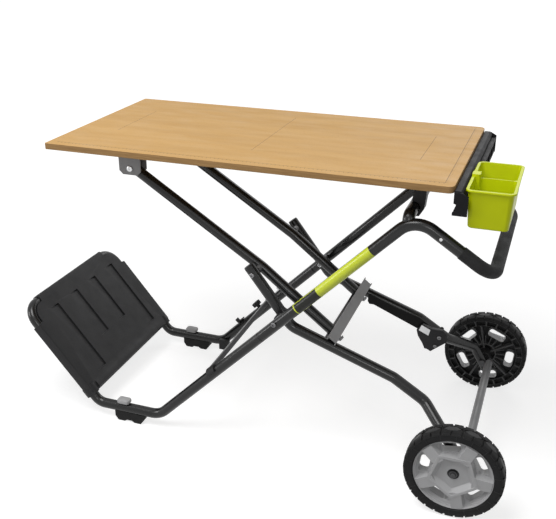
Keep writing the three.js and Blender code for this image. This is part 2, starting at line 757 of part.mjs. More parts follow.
// Stop channel: local X runs on along the strut, Z stands off its upper side
const endHeading = headingOf(STRUT_BEND, STRUT_END);
const stopFrame = new THREE.Matrix4()
  .makeBasis(
    new THREE.Vector3(endHeading.x, 0, endHeading.z),
    new THREE.Vector3(0, 1, 0),
    new THREE.Vector3(-endHeading.z, 0, endHeading.x),
  )
  .setPosition(STRUT_END.x, 0, STRUT_END.z);
const STOP_BACK = -24;
const STOP_THICK = 2.6;
const STOP_HALF = 181;
const STOP_INNER = 148;
const STOP_PRONG = 9;
const STOP_FLARE = 6;
const STOP_FRONT = GAP + STOP_THICK;
const STOP_TOP = SEAT + STOP_THICK;
const stopFlange = [
  [GAP, STOP_TOP],
  [STOP_FRONT, STOP_TOP],
  [STOP_FRONT + STOP_FLARE, -STOP_TOP],
  [GAP + STOP_FLARE, -STOP_TOP],
];
const stopNotch = [-1, 1].map((sign) => {
  const ends = [sign * STOP_HALF, sign * (STOP_HALF + STOP_PRONG + 1)];
  return boxAt(STOP_BACK + STOP_THICK, GAP, Math.min(...ends), Math.max(...ends), 0, STOP_TOP + 1);
});
const stopWebHalf = STOP_HALF + STOP_PRONG;
const stopWeb = boxAt(STOP_BACK, STOP_FRONT, -stopWebHalf, stopWebHalf, SEAT, STOP_TOP);
const stopChannel = join(
  cut(stopWeb, ...stopNotch),
  plateY(stopFlange, -STOP_INNER, STOP_INNER),
  boxAt(STOP_BACK, GAP + STOP_FLARE + 1, -STOP_INNER, STOP_INNER, -STOP_TOP, -SEAT),
);
const STOP_BOLT = { tip: -16, head: STOP_FRONT + STOP_FLARE, headRadius: 8, headLength: 5 };

function rodX(radius, low, high, y) {
  const rod = new THREE.CylinderGeometry(radius, radius, high - low, BOLT_FACETS);
  return rod.rotateZ(Math.PI / 2).translate((low + high) / 2, y, 0);
}
const stopHoles = SIDES.map(([, sign]) => {
  return rodX(HOLE_RADIUS, STOP_BOLT.tip, STOP_BOLT.head + STOP_BOLT.headLength, sign * STRUT_Y);
});
add("stop_channel", cut(stopChannel, ...stopHoles).applyMatrix4(stopFrame), "channel");
for (const [side, sign] of SIDES) {
  const y = sign * STRUT_Y;
  const head = rodX(STOP_BOLT.headRadius, STOP_BOLT.head, STOP_BOLT.head + STOP_BOLT.headLength, y);
  const shank = rodX(BOLT_RADIUS, STOP_BOLT.tip, STOP_BOLT.head + 1, y);
  add(`stop_bolt_${side}`, join(head, shank).applyMatrix4(stopFrame), "steel");
}

// Worktop board
const topShape = roundedShape(TOP_LEFT, TOP_RIGHT, -TOP_WIDTH / 2, TOP_WIDTH / 2, [
  TOP_LEFT_CORNER,
  TOP_RIGHT_CORNER,
  TOP_RIGHT_CORNER,
  TOP_LEFT_CORNER,
]);
add("worktop", slab(topShape, TOP_UNDER, TOP_HEIGHT), "board");

// Folded strut brackets under the worktop, with their bolts
const BRACKET_THICK = 3;
const BRACKET_HALF = 31;
const BRACKET_LOW = 698;
const BRACKET_CHAMFER = 10;
const BRACKET_TOP = TOP_UNDER - GAP;
const BRACKET_NUT_END = 4;
const BRACKET_OUTLINE = [
  [-BRACKET_HALF, BRACKET_TOP],
  [-BRACKET_HALF, BRACKET_LOW + BRACKET_CHAMFER],
  [-BRACKET_HALF + BRACKET_CHAMFER, BRACKET_LOW],
  [BRACKET_HALF - BRACKET_CHAMFER, BRACKET_LOW],
  [BRACKET_HALF, BRACKET_LOW + BRACKET_CHAMFER],
  [BRACKET_HALF, BRACKET_TOP],
].map(([x, z]) => [STRUT_PIVOT.x + x, z]);
for (const [side, sign] of SIDES) {
  const reach = TUBE_RADIUS + 2 * GAP;
  const y0 = sign * STRUT_Y - reach;
  const y1 = sign * STRUT_Y + reach;
  const inside = boxAt(
    STRUT_PIVOT.x - BRACKET_HALF - 1,
    STRUT_PIVOT.x + BRACKET_HALF + 1,
    y0,
    y1,
    BRACKET_LOW - 1,
    BRACKET_TOP - BRACKET_THICK,
  );
  const folded = plateY(BRACKET_OUTLINE, y0 - BRACKET_THICK, y1 + BRACKET_THICK);
  add(`strut_bracket_${side}`, cut(folded, inside, strutBore), "channel");
  const outside = STRUT_Y + reach + BRACKET_THICK + GAP;
  const tip = STRUT_Y - reach - BRACKET_THICK - BRACKET_NUT_END;
  add(`strut_bolt_${side}`, boltY(STRUT_PIVOT, sign, outside, tip, STRUT_HEAD_RADIUS), "steel");
}

// Hinge lugs under the worktop that ride on the upper cross tube
const LUG_OUTLINE = [
  [404, TOP_UNDER - GAP],
  [429, TOP_UNDER - GAP],
  [427, 735],
  [424, 707],
  [414, 690],
  [396, 688],
  [396, 728],
];
const LUG_Y = { low: 134, high: 164 };
const LUG_FLANGE = { x0: 376, x1: 442, thick: 3 };
const LUG_SEAT_FACETS = 24;
const LUG_MOUTH = { width: 20, depth: 30 };
const lugSeat = rodY(TOP_PIVOT, -FRAME_Y, FRAME_Y, TUBE_RADIUS + 3 * GAP, LUG_SEAT_FACETS);
const lugMouth = boxAt(
  TOP_PIVOT.x - LUG_MOUTH.width,
  TOP_PIVOT.x,
  -FRAME_Y,
  FRAME_Y,
  TOP_PIVOT.z - LUG_MOUTH.depth,
  TOP_PIVOT.z,
);
for (const [side, sign] of SIDES) {
  const y0 = Math.min(sign * LUG_Y.low, sign * LUG_Y.high);
  const y1 = Math.max(sign * LUG_Y.low, sign * LUG_Y.high);
  const under = TOP_UNDER - GAP;
  const flange = boxAt(LUG_FLANGE.x0, LUG_FLANGE.x1, y0, y1, under - LUG_FLANGE.thick, under);
  const lug = join(plateY(LUG_OUTLINE, y0, y1), flange);
  add(`hinge_lug_${side}`, cut(lug, lugSeat, lugMouth), "plastic");
}

// Accessory rail on the end of the worktop
const RAIL_OUTLINE = [
  [500.4, 791],
  [514, 791],
  [520, 786],
  [520, 737],
  [499, 737],
  [499, 742],
  [511, 742],
  [511, 768],
  [500.4, 768],
];
add("accessory_rail", plateY(RAIL_OUTLINE, -RAIL_HALF, RAIL_HALF), "rail");

// Divided bin that lifts off the rail, tapered towards its bottom
function tapered(geometry, z0, z1, factor, centreX, centreY) {
  const places = geometry.attributes.position;
  for (let i = 0; i < places.count; i += 1) {
    const scale = factor + ((1 - factor) * (places.getZ(i) - z0)) / (z1 - z0);
    places.setX(i, centreX + (places.getX(i) - centreX) * scale);
    places.setY(i, centreY + (places.getY(i) - centreY) * scale);
  }
  return geometry;
}
const binX = (BIN.x0 + BIN.x1) / 2;
const binY = (BIN.y0 + BIN.y1) / 2;
const DIVIDER_Y = binY + 4;
const BIN_CORNER = { outside: 8, rim: 9, pocket: 6 };

function binBlock(x0, x1, y0, y1, z0, radius) {
  const body = slab(roundedShape(x0, x1, y0, y1, evenCorners(radius)), z0, BIN.rim, 2);
  return tapered(body, BIN.bottom, BIN.rim, BIN_TAPER, binX, binY);
}
const outer = { x0: BIN.x0 + BIN_RIM, x1: BIN.x1 - BIN_RIM, y0: BIN.y0 + BIN_RIM, y1: BIN.y1 - BIN_RIM };
const binBody = binBlock(outer.x0, outer.x1, outer.y0, outer.y1, BIN.bottom, BIN_CORNER.outside);
const rimShape = roundedShape(BIN.x0, BIN.x1, BIN.y0, BIN.y1, evenCorners(BIN_CORNER.rim));
const binRim = slab(rimShape, BIN.rim - BIN_RIM, BIN.rim, 2);
const pockets = [];
for (const [y0, y1] of [
  [outer.y0 + BIN_WALL, DIVIDER_Y - BIN_WALL / 2],
  [DIVIDER_Y + BIN_WALL / 2, outer.y1 - BIN_WALL],
]) {
  const x0 = outer.x0 + BIN_WALL;
  const x1 = outer.x1 - BIN_WALL;
  const corner = BIN_CORNER.pocket;
  pockets.push(binBlock(x0, x1, y0, y1, BIN.bottom + BIN_WALL, corner));
  pockets.push(boxAt(x0 + corner, x1 - corner, y0 + corner, y1 - corner, BIN.rim - 1, BIN.rim + 1));
}
add("parts_bin", cut(join(binBody, binRim), ...pockets), "bin");

export default bench;
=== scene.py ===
"""Looks of a folding workbench on bent-tube frames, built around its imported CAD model."""

import math

import bmesh
import bpy
from mathutils import Matrix, Vector


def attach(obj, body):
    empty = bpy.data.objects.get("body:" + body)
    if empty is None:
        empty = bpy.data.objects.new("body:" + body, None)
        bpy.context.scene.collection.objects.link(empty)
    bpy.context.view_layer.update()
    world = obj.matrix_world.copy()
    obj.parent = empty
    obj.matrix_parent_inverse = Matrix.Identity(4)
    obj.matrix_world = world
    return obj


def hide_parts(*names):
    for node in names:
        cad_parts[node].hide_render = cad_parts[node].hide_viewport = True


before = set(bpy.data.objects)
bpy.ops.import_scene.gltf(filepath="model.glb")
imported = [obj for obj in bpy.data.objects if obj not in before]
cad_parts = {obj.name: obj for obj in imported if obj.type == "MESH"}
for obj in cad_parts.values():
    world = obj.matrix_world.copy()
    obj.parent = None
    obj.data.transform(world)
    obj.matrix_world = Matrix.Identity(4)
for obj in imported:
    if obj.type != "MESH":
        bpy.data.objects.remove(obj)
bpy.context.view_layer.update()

# Sizes are in millimetres, as in the CAD, and become metres when a piece is made
MM = 0.001
GAP = 0.3
SIDES = (("near", -1), ("far", 1))
TUBE = 14
BORE = 12.2
FRAME_Y = 222
LEG_Y = 170
STRUT_Y = 121

# Camera: place in metres, turn and tilt in radians, focal length in pixels of the photograph's width
CAMERA_AT = (0.7098, -1.9296, 1.3542)
CAMERA_YAW = 0.3457
CAMERA_PITCH = 0.4128
CAMERA_FOCAL = 827.7
PHOTO_WIDTH = 556
SENSOR = 36

# Pivots and bends, as x and z
LEG_PIVOT = (88, 388)
KNEE = (12, 488)
STRUT_PIVOT = (-340, 715)
TOP_PIVOT = (400.5, 709)
FRAME_SEAM = (49, 341)
FRAME_PEAK = (417, 709)
HANDLE_BAR = (598, 590)
FOOT_BEND = (-254, 38)
TOE_BEND = (-444, 38)
TOE_TOP = (-654.3, 294.2)
LEG_BENDS = ((-1.3, 505.5), (112.5, 355.8), (381.5, 260.6), (462.8, 209.3), (535, 158), (572.5, 94))
SPLAY_Y = 240
AXLE = (562.7, 118.5)
BRACE = (580, 117)
STRUT_BEND = (17, 484.8)
STRUT_END = (222, 323.4)
WHEEL_Y = 301
WHEEL_RADIUS = 118.5


class Graph:
    """The nodes of a material or the world, with short ways to add what the finishes need."""

    def __init__(self, owner):
        owner.use_nodes = True
        self.nodes = owner.node_tree.nodes
        self.links = owner.node_tree.links
        self.shader = self.nodes.get("Principled BSDF")

    def feed(self, socket, value):
        """Links a socket to another, or sets its constant."""
        if isinstance(value, bpy.types.NodeSocket):
            self.links.new(value, socket)
        else:
            socket.default_value = value

    def add(self, kind, **inputs):
        """A new node with its named inputs fed, an underscore standing for a space."""
        node = self.nodes.new(f"ShaderNode{kind}")
        for name, value in inputs.items():
            self.feed(node.inputs[name.replace("_", " ")], value)
        return node

    def finish(self, **inputs):
        """Feeds named inputs of the material's shader."""
        for name, value in inputs.items():
            self.feed(self.shader.inputs[name.replace("_", " ")], value)

    def place(self):
        return self.add("TexCoord").outputs["Object"]

    def noise(self, scale, detail=4.0, stretch=(1, 1, 1)):
        """Noise in the object's own coordinates, in features per metre, stretched along an axis if asked."""
        mapping = self.add("Mapping", Vector=self.place(), Scale=stretch)
        node = self.add("TexNoise", Vector=mapping.outputs["Vector"], Scale=scale, Detail=detail)
        return node.outputs["Fac"]

    def ramp(self, factor, *stops):
        node = self.add("ValToRGB", Fac=factor)
        elements = node.color_ramp.elements
        while len(elements) < len(stops):
            elements.new(0.5)
        for element, (place, colour) in zip(elements, stops):
            element.position = place
            element.color = (*colour, 1)
        return node.outputs["Color"]

    def spread(self, value, low, high, start=0.3, end=0.7):
        """Carries a value from its own range to low and high."""
        node = self.add("MapRange", Value=value, From_Min=start, From_Max=end, To_Min=low, To_Max=high)
        return node.outputs["Result"]

    def calc(self, operation, *values, kind="Math"):
        node = self.add(kind)
        node.operation = operation
        for socket, value in zip(node.inputs, values):
            self.feed(socket, value)
        return node.outputs["Value"]

    def every(self, operation, first, *others):
        """Runs one operation through a row of values."""
        for other in others:
            first = self.calc(operation, first, other)
        return first

    def parts(self, vector):
        return self.add("SeparateXYZ", Vector=vector).outputs

    def mix(self, factor, first, second):
        node = self.add("Mix")
        node.data_type = "RGBA"
        self.feed(node.inputs["Factor"], factor)
        for name, colour in (("A", first), ("B", second)):
            self.feed(node.inputs[name], (*colour, 1) if isinstance(colour, tuple) else colour)
        return node.outputs["Result"]

    def mix_shader(self, factor, first, second):
        node = self.add("MixShader", Fac=factor)
        self.feed(node.inputs[1], first)
        self.feed(node.inputs[2], second)
        return node.outputs["Shader"]

    def relief(self, height, strength, distance):
        bump = self.add("Bump", Height=height, Strength=strength, Distance=distance)
        self.finish(Normal=bump.outputs["Normal"])

    def rubbed_and_glinting_edges(self, radius=0.0015, flat=0.96, gain=5.0):
        """Near 1 on corners and edges, 0 on flat faces: where handling rubs, and where some finishes paint a
        highlight.
        """
        bevel = self.add("Bevel", Radius=radius)
        bevel.samples = 4
        normal = self.add("NewGeometry").outputs["Normal"]
        likeness = self.calc("DOT_PRODUCT", bevel.outputs["Normal"], normal, kind="VectorMath")
        strong = self.calc("MULTIPLY", self.calc("SUBTRACT", flat, likeness), gain)
        strong.node.use_clamp = True
        return strong


# Noise scales that the finishes share, in features per metre, and the depth of their relief in metres
MOTTLE = 9.0
RUB_AND_GLINT = 60.0
GLOSS = 34.0
RELIEF = 0.0006


def surface(name, base, roughness, bump, wear_and_glint=None, metallic=0.0, specular=0.5, span=0.16):
    """A finish: darker and lighter shades in broad mottling, uneven gloss, fine relief, and lighter edges,
    rubbed wear on most finishes and a painted highlight on a few.
    """
    made = bpy.data.materials.new(name)
    graph = Graph(made)
    dark = tuple(level * (1 - span) for level in base)
    light = tuple(min(level * (1 + span), 1) for level in base)
    colour = graph.ramp(graph.noise(MOTTLE, 5.0), (0.3, dark), (0.5, base), (0.72, light))
    if wear_and_glint:
        # Lighter colour on the edges: rubbed wear on most finishes, a painted highlight on the wheel core,
        # its ribs and the tread panels
        rubbed_and_glinting = graph.calc("MULTIPLY", graph.rubbed_and_glinting_edges(), graph.noise(RUB_AND_GLINT))
        colour = graph.mix(rubbed_and_glinting, colour, wear_and_glint)
    gloss = graph.spread(graph.noise(GLOSS, 6.0), *roughness)
    graph.finish(Metallic=metallic, Specular_IOR_Level=specular, Base_Color=colour, Roughness=gloss)
    scale, strength = bump
    graph.relief(graph.noise(scale, 3.0), strength, RELIEF)
    return made


# Printed marks on the board, in metres: rules along two edges with ticks, and thin guide lines across it
RULE_X = 0.477
RULE_Y = -0.238
RULE_ENDS = (-0.48, 0.238)
TICK_PITCH = 0.010
TICK_WIDTH = 0.0011
TICK_LENGTH = 0.006
LINE_HALF = 0.0007
GUIDE_HALF = LINE_HALF * 0.7
GUIDES = ((0, -0.15, 0.19), (0.395, -0.09, 0.125), (-0.395, -0.09, 0.125))
PRINTED_ABOVE = 0.7995
INK = (0.10, 0.055, 0.022)
INK_STRENGTH = 0.75


def board_print(graph):
    """1 where the board's top is printed."""
    place = graph.parts(graph.place())
    x, y, z = (place[axis] for axis in "XYZ")

    def within(value, low, high):
        return graph.every(
            "MULTIPLY", graph.calc("GREATER_THAN", value, low), graph.calc("LESS_THAN", value, high)
        )

    def line(value, centre, half):
        distance = graph.calc("ABSOLUTE", graph.calc("SUBTRACT", value, centre))
        return graph.calc("LESS_THAN", distance, half)

    def ticks(value):
        return line(graph.calc("WRAP", value, TICK_PITCH, 0.0), TICK_PITCH / 2, TICK_WIDTH / 2)

    along_right = within(y, RULE_Y, RULE_ENDS[1])
    along_near = within(x, RULE_ENDS[0], RULE_X)
    marks = [
        graph.every("MULTIPLY", line(x, RULE_X, LINE_HALF), along_right),
        graph.every("MULTIPLY", line(y, RULE_Y, LINE_HALF), along_near),
        graph.every("MULTIPLY", ticks(y), within(x, RULE_X, RULE_X + TICK_LENGTH), along_right),
        graph.every("MULTIPLY", ticks(x), within(y, RULE_Y - TICK_LENGTH, RULE_Y), along_near),
    ]
    for at, low, high in GUIDES:
        marks.append(graph.every("MULTIPLY", line(x, at, GUIDE_HALF), within(y, low, high)))
    top = graph.calc("GREATER_THAN", z, PRINTED_ABOVE)
    return graph.calc("MULTIPLY", graph.every("MAXIMUM", *marks), top)


# Colours of the board, from its darker streaks to its lighter ones, of its flecks and of its side faces
BOARD_STREAKS = ((0.2, (0.50, 0.295, 0.101)), (0.5, (0.55, 0.33, 0.12)), (0.8, (0.59, 0.36, 0.137)))
BOARD_FLECK = (0.30, 0.17, 0.07)
BOARD_EDGE = ((0.3, (0.25, 0.145, 0.058)), (0.7, (0.36, 0.215, 0.09)))


def board_material():
    """Sealed fibreboard: long faint streaks, fine flecks, darker side faces and printed rules."""
    made = bpy.data.materials.new("sealed_fibreboard")
    graph = Graph(made)
    colour = graph.ramp(graph.noise(26.0, 6.0, (0.12, 1, 1)), *BOARD_STREAKS)
    flecks = graph.noise(420.0, 2.0, (0.35, 1, 1))
    fleck_mask = graph.calc("MULTIPLY", graph.calc("GREATER_THAN", flecks, 0.62), 0.22)
    colour = graph.mix(fleck_mask, colour, BOARD_FLECK)
    facing = graph.add("VectorTransform", Vector=graph.add("NewGeometry").outputs["Normal"])
    facing.vector_type = "NORMAL"
    facing.convert_from = "WORLD"
    facing.convert_to = "OBJECT"
    upright = graph.calc("ABSOLUTE", graph.parts(facing.outputs["Vector"])["Z"])
    # Faces turned away from the top and bottom take a darker colour
    side_colour = graph.ramp(graph.noise(90.0, 3.0, (0.2, 0.2, 6)), *BOARD_EDGE)
    colour = graph.mix(graph.calc("LESS_THAN", upright, 0.6), colour, side_colour)
    colour = graph.mix(graph.calc("MULTIPLY", board_print(graph), INK_STRENGTH), colour, INK)
    gloss = graph.spread(graph.noise(40.0, 5.0, (0.3, 1, 1)), 0.42, 0.62)
    graph.finish(Specular_IOR_Level=0.16, Base_Color=colour, Roughness=gloss)
    graph.relief(flecks, 0.16, 0.0005)
    return made


def foam_material():
    """Closed-cell foam: matt, finely pitted."""
    made = surface("closed_cell_foam", (0.013, 0.013, 0.0135), (0.6, 0.78), (1100.0, 0.5), specular=0.22)
    graph = Graph(made)
    pores = graph.add("TexVoronoi", Vector=graph.place(), Scale=900.0)
    graph.relief(pores.outputs["Distance"], 0.5, 0.0008)
    return made


# Finishes by slot
FINISH = {
    "frame_paint": surface(
        "charcoal_powder_coat", (0.006, 0.006, 0.0063), (0.23, 0.30), (1500.0, 0.025),
        wear_and_glint=(0.13, 0.13, 0.135), specular=0.38,
    ),
    "bright_steel": surface(
        "zinc_plated_steel", (0.55, 0.555, 0.56), (0.24, 0.42), (700.0, 0.08), metallic=1.0
    ),
    "grey_paint": surface(
        "grey_powder_coat", (0.19, 0.19, 0.195), (0.34, 0.48), (1400.0, 0.12), wear_and_glint=(0.38, 0.38, 0.39)
    ),
    "board": board_material(),
    "dark_plastic": surface(
        "dark_moulded_plastic", (0.017, 0.017, 0.018), (0.40, 0.56), (1800.0, 0.2),
        wear_and_glint=(0.06, 0.06, 0.062), specular=0.22,
    ),
    "foam": foam_material(),
    "foot_rubber": surface("foot_rubber", (0.009, 0.009, 0.009), (0.62, 0.82), (900.0, 0.2), specular=0.2),
    "tyre": surface(
        "tyre_rubber", (0.008, 0.008, 0.0083), (0.50, 0.72), (650.0, 0.22),
        wear_and_glint=(0.06, 0.06, 0.06), specular=0.16,
    ),
    "rail_plastic": surface(
        "rail_plastic", (0.0075, 0.0072, 0.0085), (0.46, 0.6), (1700.0, 0.2),
        wear_and_glint=(0.05, 0.05, 0.054), specular=0.12,
    ),
    "bin_plastic": surface(
        "lime_moulded_plastic", (0.56, 0.63, 0.004), (0.3, 0.42), (1600.0, 0.06), specular=0.16, span=0.05
    ),
    "hub_plastic": surface(
        "grey_moulded_plastic", (0.38, 0.38, 0.385), (0.26, 0.38), (1500.0, 0.18),
        wear_and_glint=(0.5, 0.5, 0.51), specular=0.3, span=0.08,
    ),
}

# Finishes of single pieces that differ from the rest of their slot
DARK_STEEL = surface("black_oxide_steel", (0.06, 0.06, 0.062), (0.38, 0.52), (900.0, 0.1), metallic=0.8)
DULL_STEEL = surface("dull_zinc_steel", (0.17, 0.17, 0.175), (0.28, 0.42), (800.0, 0.08), metallic=1.0)
BLACK_PAINT = surface(
    "black_painted_steel", (0.0045, 0.0045, 0.0045), (0.34, 0.46), (1400.0, 0.1),
    wear_and_glint=(0.06, 0.06, 0.06), specular=0.1,
)
# The wheel core's black plastic; its lighter edge colour is a painted highlight where edges catch the light
CORE_PLASTIC = surface(
    "ribbed_core_plastic", (0.018, 0.018, 0.0185), (0.36, 0.5), (1600.0, 0.16),
    wear_and_glint=(0.2, 0.2, 0.205), specular=0.2,
)
# The core's black plastic painted lighter on its ribs and ring, a painted highlight where they catch the
# light, with painted highlights on their edges too
RIB_HIGHLIGHT_PLASTIC = surface(
    "rib_plastic_painted_highlight", (0.085, 0.085, 0.087), (0.36, 0.5), (1600.0, 0.16),
    wear_and_glint=(0.2, 0.2, 0.2), specular=0.2,
)
# The tyre's rubber painted lighter on the tread's panels, a painted highlight on the tread's top, and
# lighter still at their edges as painted highlight
LIT_PANEL_RUBBER = surface(
    "tread_panel_rubber_painted_light", (0.03, 0.03, 0.031), (0.42, 0.6), (520.0, 0.3),
    wear_and_glint=(0.09, 0.09, 0.09), specular=0.25,
)
CAP_GREY = surface(
    "light_grey_caps", (0.36, 0.36, 0.365), (0.36, 0.5), (1300.0, 0.12), wear_and_glint=(0.6, 0.6, 0.61), span=0.08
)
BAND_LIME = surface("band_lime_film", (0.56, 0.64, 0.03), (0.25, 0.36), (900.0, 0.05), span=0.05)
BAND_DARK = surface("band_dark_film", (0.012, 0.013, 0.010), (0.28, 0.4), (900.0, 0.05), specular=0.25)


# Making pieces: shapes are bmeshes in millimetres
def make(name, shape, body, slot, replaces=(), bevel=0.0, segments=2, finish=None):
    """Turns a shape into a piece that rides on a body and stands for CAD nodes."""
    bmesh.ops.recalc_face_normals(shape, faces=shape.faces)
    bmesh.ops.scale(shape, vec=(MM, MM, MM), verts=shape.verts)
    mesh = mesh_of(name, shape)
    mesh.polygons.foreach_set("use_smooth", [True] * len(mesh.polygons))
    mesh.set_sharp_from_angle(angle=math.radians(CREASE))
    mesh.materials.append(finish or FINISH[slot])
    piece = linked(name, mesh)
    if bevel:
        soften(piece, bevel, segments)
    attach(piece, body)
    if replaces:
        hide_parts(*replaces)
    return piece


# Angles in degrees: edges sharper than the first stay crisp, edges sharper than the second are rounded
CREASE = 32
ROUNDED_FROM = 30


def mesh_of(name, shape):
    """A mesh with the shape's faces. The shape is used up."""
    mesh = bpy.data.meshes.new(name)
    shape.to_mesh(mesh)
    shape.free()
    return mesh


def linked(name, data):
    holder = bpy.data.objects.new(name, data)
    bpy.context.scene.collection.objects.link(holder)
    return holder


def soften(piece, width, segments):
    rounding = piece.modifiers.new("rounding", "BEVEL")
    rounding.width = width * MM
    rounding.segments = segments
    rounding.limit_method = "ANGLE"
    rounding.angle_limit = math.radians(ROUNDED_FROM)
    rounding.harden_normals = True


def finished(node, shape, body, slot, **options):
    """The piece that stands for one CAD node."""
    return make(f"{node}_finished", shape, body, slot, (node,), **options)


def refined(node, body, slot, bevel, finish):
    """The CAD node's own shape with its flat faces whole and its edges rounded."""
    shape = bmesh.new()
    shape.from_mesh(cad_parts[node].data)
    bmesh.ops.remove_doubles(shape, verts=shape.verts, dist=1e-6)
    bmesh.ops.dissolve_limit(shape, angle_limit=math.radians(0.6), verts=shape.verts, edges=shape.edges)
    bmesh.ops.scale(shape, vec=(1 / MM, 1 / MM, 1 / MM), verts=shape.verts)
    finished(node, shape, body, slot, bevel=bevel, finish=finish)


def joined(*shapes):
    """Shapes laid together without cutting them."""
    whole = bmesh.new()
    for shape in shapes:
        mesh = mesh_of("part", shape)
        whole.from_mesh(mesh)
        bpy.data.meshes.remove(mesh)
    return whole


def combined(operation, *shapes):
    """The first shape after a boolean operation with each of the others."""
    holders = []
    for shape in shapes:
        bmesh.ops.recalc_face_normals(shape, faces=shape.faces)
        holders.append(linked("carving", mesh_of("carving", shape)))
    body = holders[0]
    for tool in holders[1:]:
        step = body.modifiers.new("carve", "BOOLEAN")
        step.operation = operation
        step.solver = "EXACT"
        step.object = tool
    result = bmesh.new()
    evaluated = body.evaluated_get(bpy.context.evaluated_depsgraph_get())
    result.from_mesh(evaluated.to_mesh())
    evaluated.to_mesh_clear()
    for holder in holders:
        mesh = holder.data
        bpy.data.objects.remove(holder)
        bpy.data.meshes.remove(mesh)
    return result


def carved(shape, *cutters):
    return combined("DIFFERENCE", shape, *cutters)


def placed(shape, matrix):
    bmesh.ops.transform(shape, matrix=matrix, verts=shape.verts)
    return shape


def spun(shape, count, total, turn=0.0):
    """A shape turned about Z to its place among a total spread evenly round it."""
    return placed(shape, Matrix.Rotation(2 * math.pi * count / total + turn, 4, "Z"))


def spot(point, y):
    return Vector((point[0], y, point[1]))


def mirrored(points, y):
    """A route out along -Y and back along +Y through the same points."""
    return [spot(point, -y) for point in points] + [spot(point, y) for point in reversed(points)]


def polar(radius, degrees):
    angle = math.radians(degrees)
    return radius * math.cos(angle), radius * math.sin(angle)


def bent(corners, radii, steps=10):
    """Stations along a bent route: place and heading."""
    headings = [(b - a).normalized() for a, b in zip(corners, corners[1:])]
    stations = [(corners[0], headings[0])]
    for corner, arrive, leave, radius in zip(corners[1:], headings, headings[1:], radii):
        turn = arrive.angle(leave)
        axis = arrive.cross(leave).normalized()
        centre = corner + (leave - arrive).normalized() * (radius / math.cos(turn / 2))
        arm = corner - arrive * (radius * math.tan(turn / 2)) - centre
        for step in range(steps + 1):
            rotation = Matrix.Rotation(turn * step / steps, 3, axis)
            stations.append((centre + rotation @ arm, rotation @ arrive))
    stations.append((corners[-1], headings[-1]))
    return stations


def walls(shape, pairs):
    """Faces between loops of vertices. A loop of one vertex is a point."""
    for low, high in pairs:
        count = max(len(low), len(high))
        for i in range(count):
            j = (i + 1) % count
            ring = (low[i % len(low)], low[j % len(low)], high[j % len(high)], high[i % len(high)])
            shape.faces.new(dict.fromkeys(ring))


def sweep(stations, radius, bore=0.0, sides=36, chamfer=0.8):
    """A round tube along the stations, its ends chamfered, hollow if it has a bore."""
    (first, heading), (last, leaving) = stations[0], stations[-1]
    rings = [(first, heading, radius - chamfer), (first + heading * chamfer, heading, radius)]
    rings += [(place, along, radius) for place, along in stations[1:-1]]
    rings += [(last - leaving * chamfer, leaving, radius), (last, leaving, radius - chamfer)]
    if bore:
        rings += [(place, along, bore) for place, along in reversed(stations)]
    shape = bmesh.new()
    side = heading.orthogonal().normalized()
    loops = []
    facing = heading
    for place, along, reach in rings:
        side = facing.rotation_difference(along) @ side
        facing = along
        up = along.cross(side)
        around = [polar(reach, 360 * i / sides) for i in range(sides)]
        loops.append([shape.verts.new(place + side * a + up * b) for a, b in around])
    walls(shape, zip(loops, loops[1:]))
    if bore:
        walls(shape, [(loops[-1], loops[0])])
    else:
        shape.faces.new(reversed(loops[0]))
        shape.faces.new(loops[-1])
    return shape


def turned(profile, sides=48):
    """A solid of revolution about Z: the profile is radius and height, from axis to axis or closed."""
    shape = bmesh.new()
    loops = []
    for radius, height in profile:
        around = [polar(radius, 360 * i / sides) for i in range(sides if radius else 1)]
        loops.append([shape.verts.new((x, y, height)) for x, y in around])
    walls(shape, zip(loops, loops[1:]))
    if profile[0][0] > 0:
        walls(shape, [(loops[-1], loops[0])])
    return shape


def stacked(layers):
    """A closed solid through layers of points, each layer with the same count."""
    shape = bmesh.new()
    loops = [[shape.verts.new(point) for point in layer] for layer in layers]
    walls(shape, zip(loops, loops[1:]))
    shape.faces.new(reversed(loops[0]))
    shape.faces.new(loops[-1])
    return shape


def prism(outline, low, high):
    """An outline in X and Y carried from low to high along Z."""
    return stacked([[(x, y, height) for x, y in outline] for height in (low, high)])


def block(x0, x1, y0, y1, z0, z1):
    return prism(((x0, y0), (x1, y0), (x1, y1), (x0, y1)), z0, z1)


def rounded(x0, x1, y0, y1, radii, steps=8):
    """A rectangle's outline with its corners rounded, radii in order round from the low corner."""
    a, b, c, d = radii
    centres = (
        (x0 + a, y0 + a, a, 180), (x1 - b, y0 + b, b, 270), (x1 - c, y1 - c, c, 0), (x0 + d, y1 - d, d, 90),
    )
    outline = []
    for x, y, radius, start in centres:
        for step in range(steps + 1):
            dx, dy = polar(radius, start + 90 * step / steps)
            outline.append((x + dx, y + dy))
    return outline


def facing_y(sign, point, y):
    """Carries a shape made along +Z to a place in the bench, with its top facing out along Y."""
    basis = Matrix(((1, 0, 0), (0, 0, sign), (0, -sign, 0))).to_4x4()
    return Matrix.Translation(spot(point, y)) @ basis


def facing(heading, place):
    """Carries a shape made along +Z to a place, with its top facing along the heading."""
    return Matrix.Translation(place) @ Vector((0, 0, 1)).rotation_difference(heading).to_matrix().to_4x4()


def on_axes(x_axis, y_axis, z_axis, place):
    """Carries a shape to a place and onto three axes."""
    return Matrix.Translation(place) @ Matrix((x_axis, y_axis, z_axis)).transposed().to_4x4()


def plate_y(outline, y, thick):
    """An outline in X and Z given a thickness, from y towards -Y."""
    return placed(prism(outline, 0, thick), facing_y(-1, (0, 0), y))


# Main frame tubes
def heading_of(start, end):
    return Vector((end[0] - start[0], 0, end[1] - start[1])).normalized()


def moved(point, heading, distance):
    """A point carried along a heading, as x and z."""
    return point[0] + heading.x * distance, point[1] + heading.z * distance


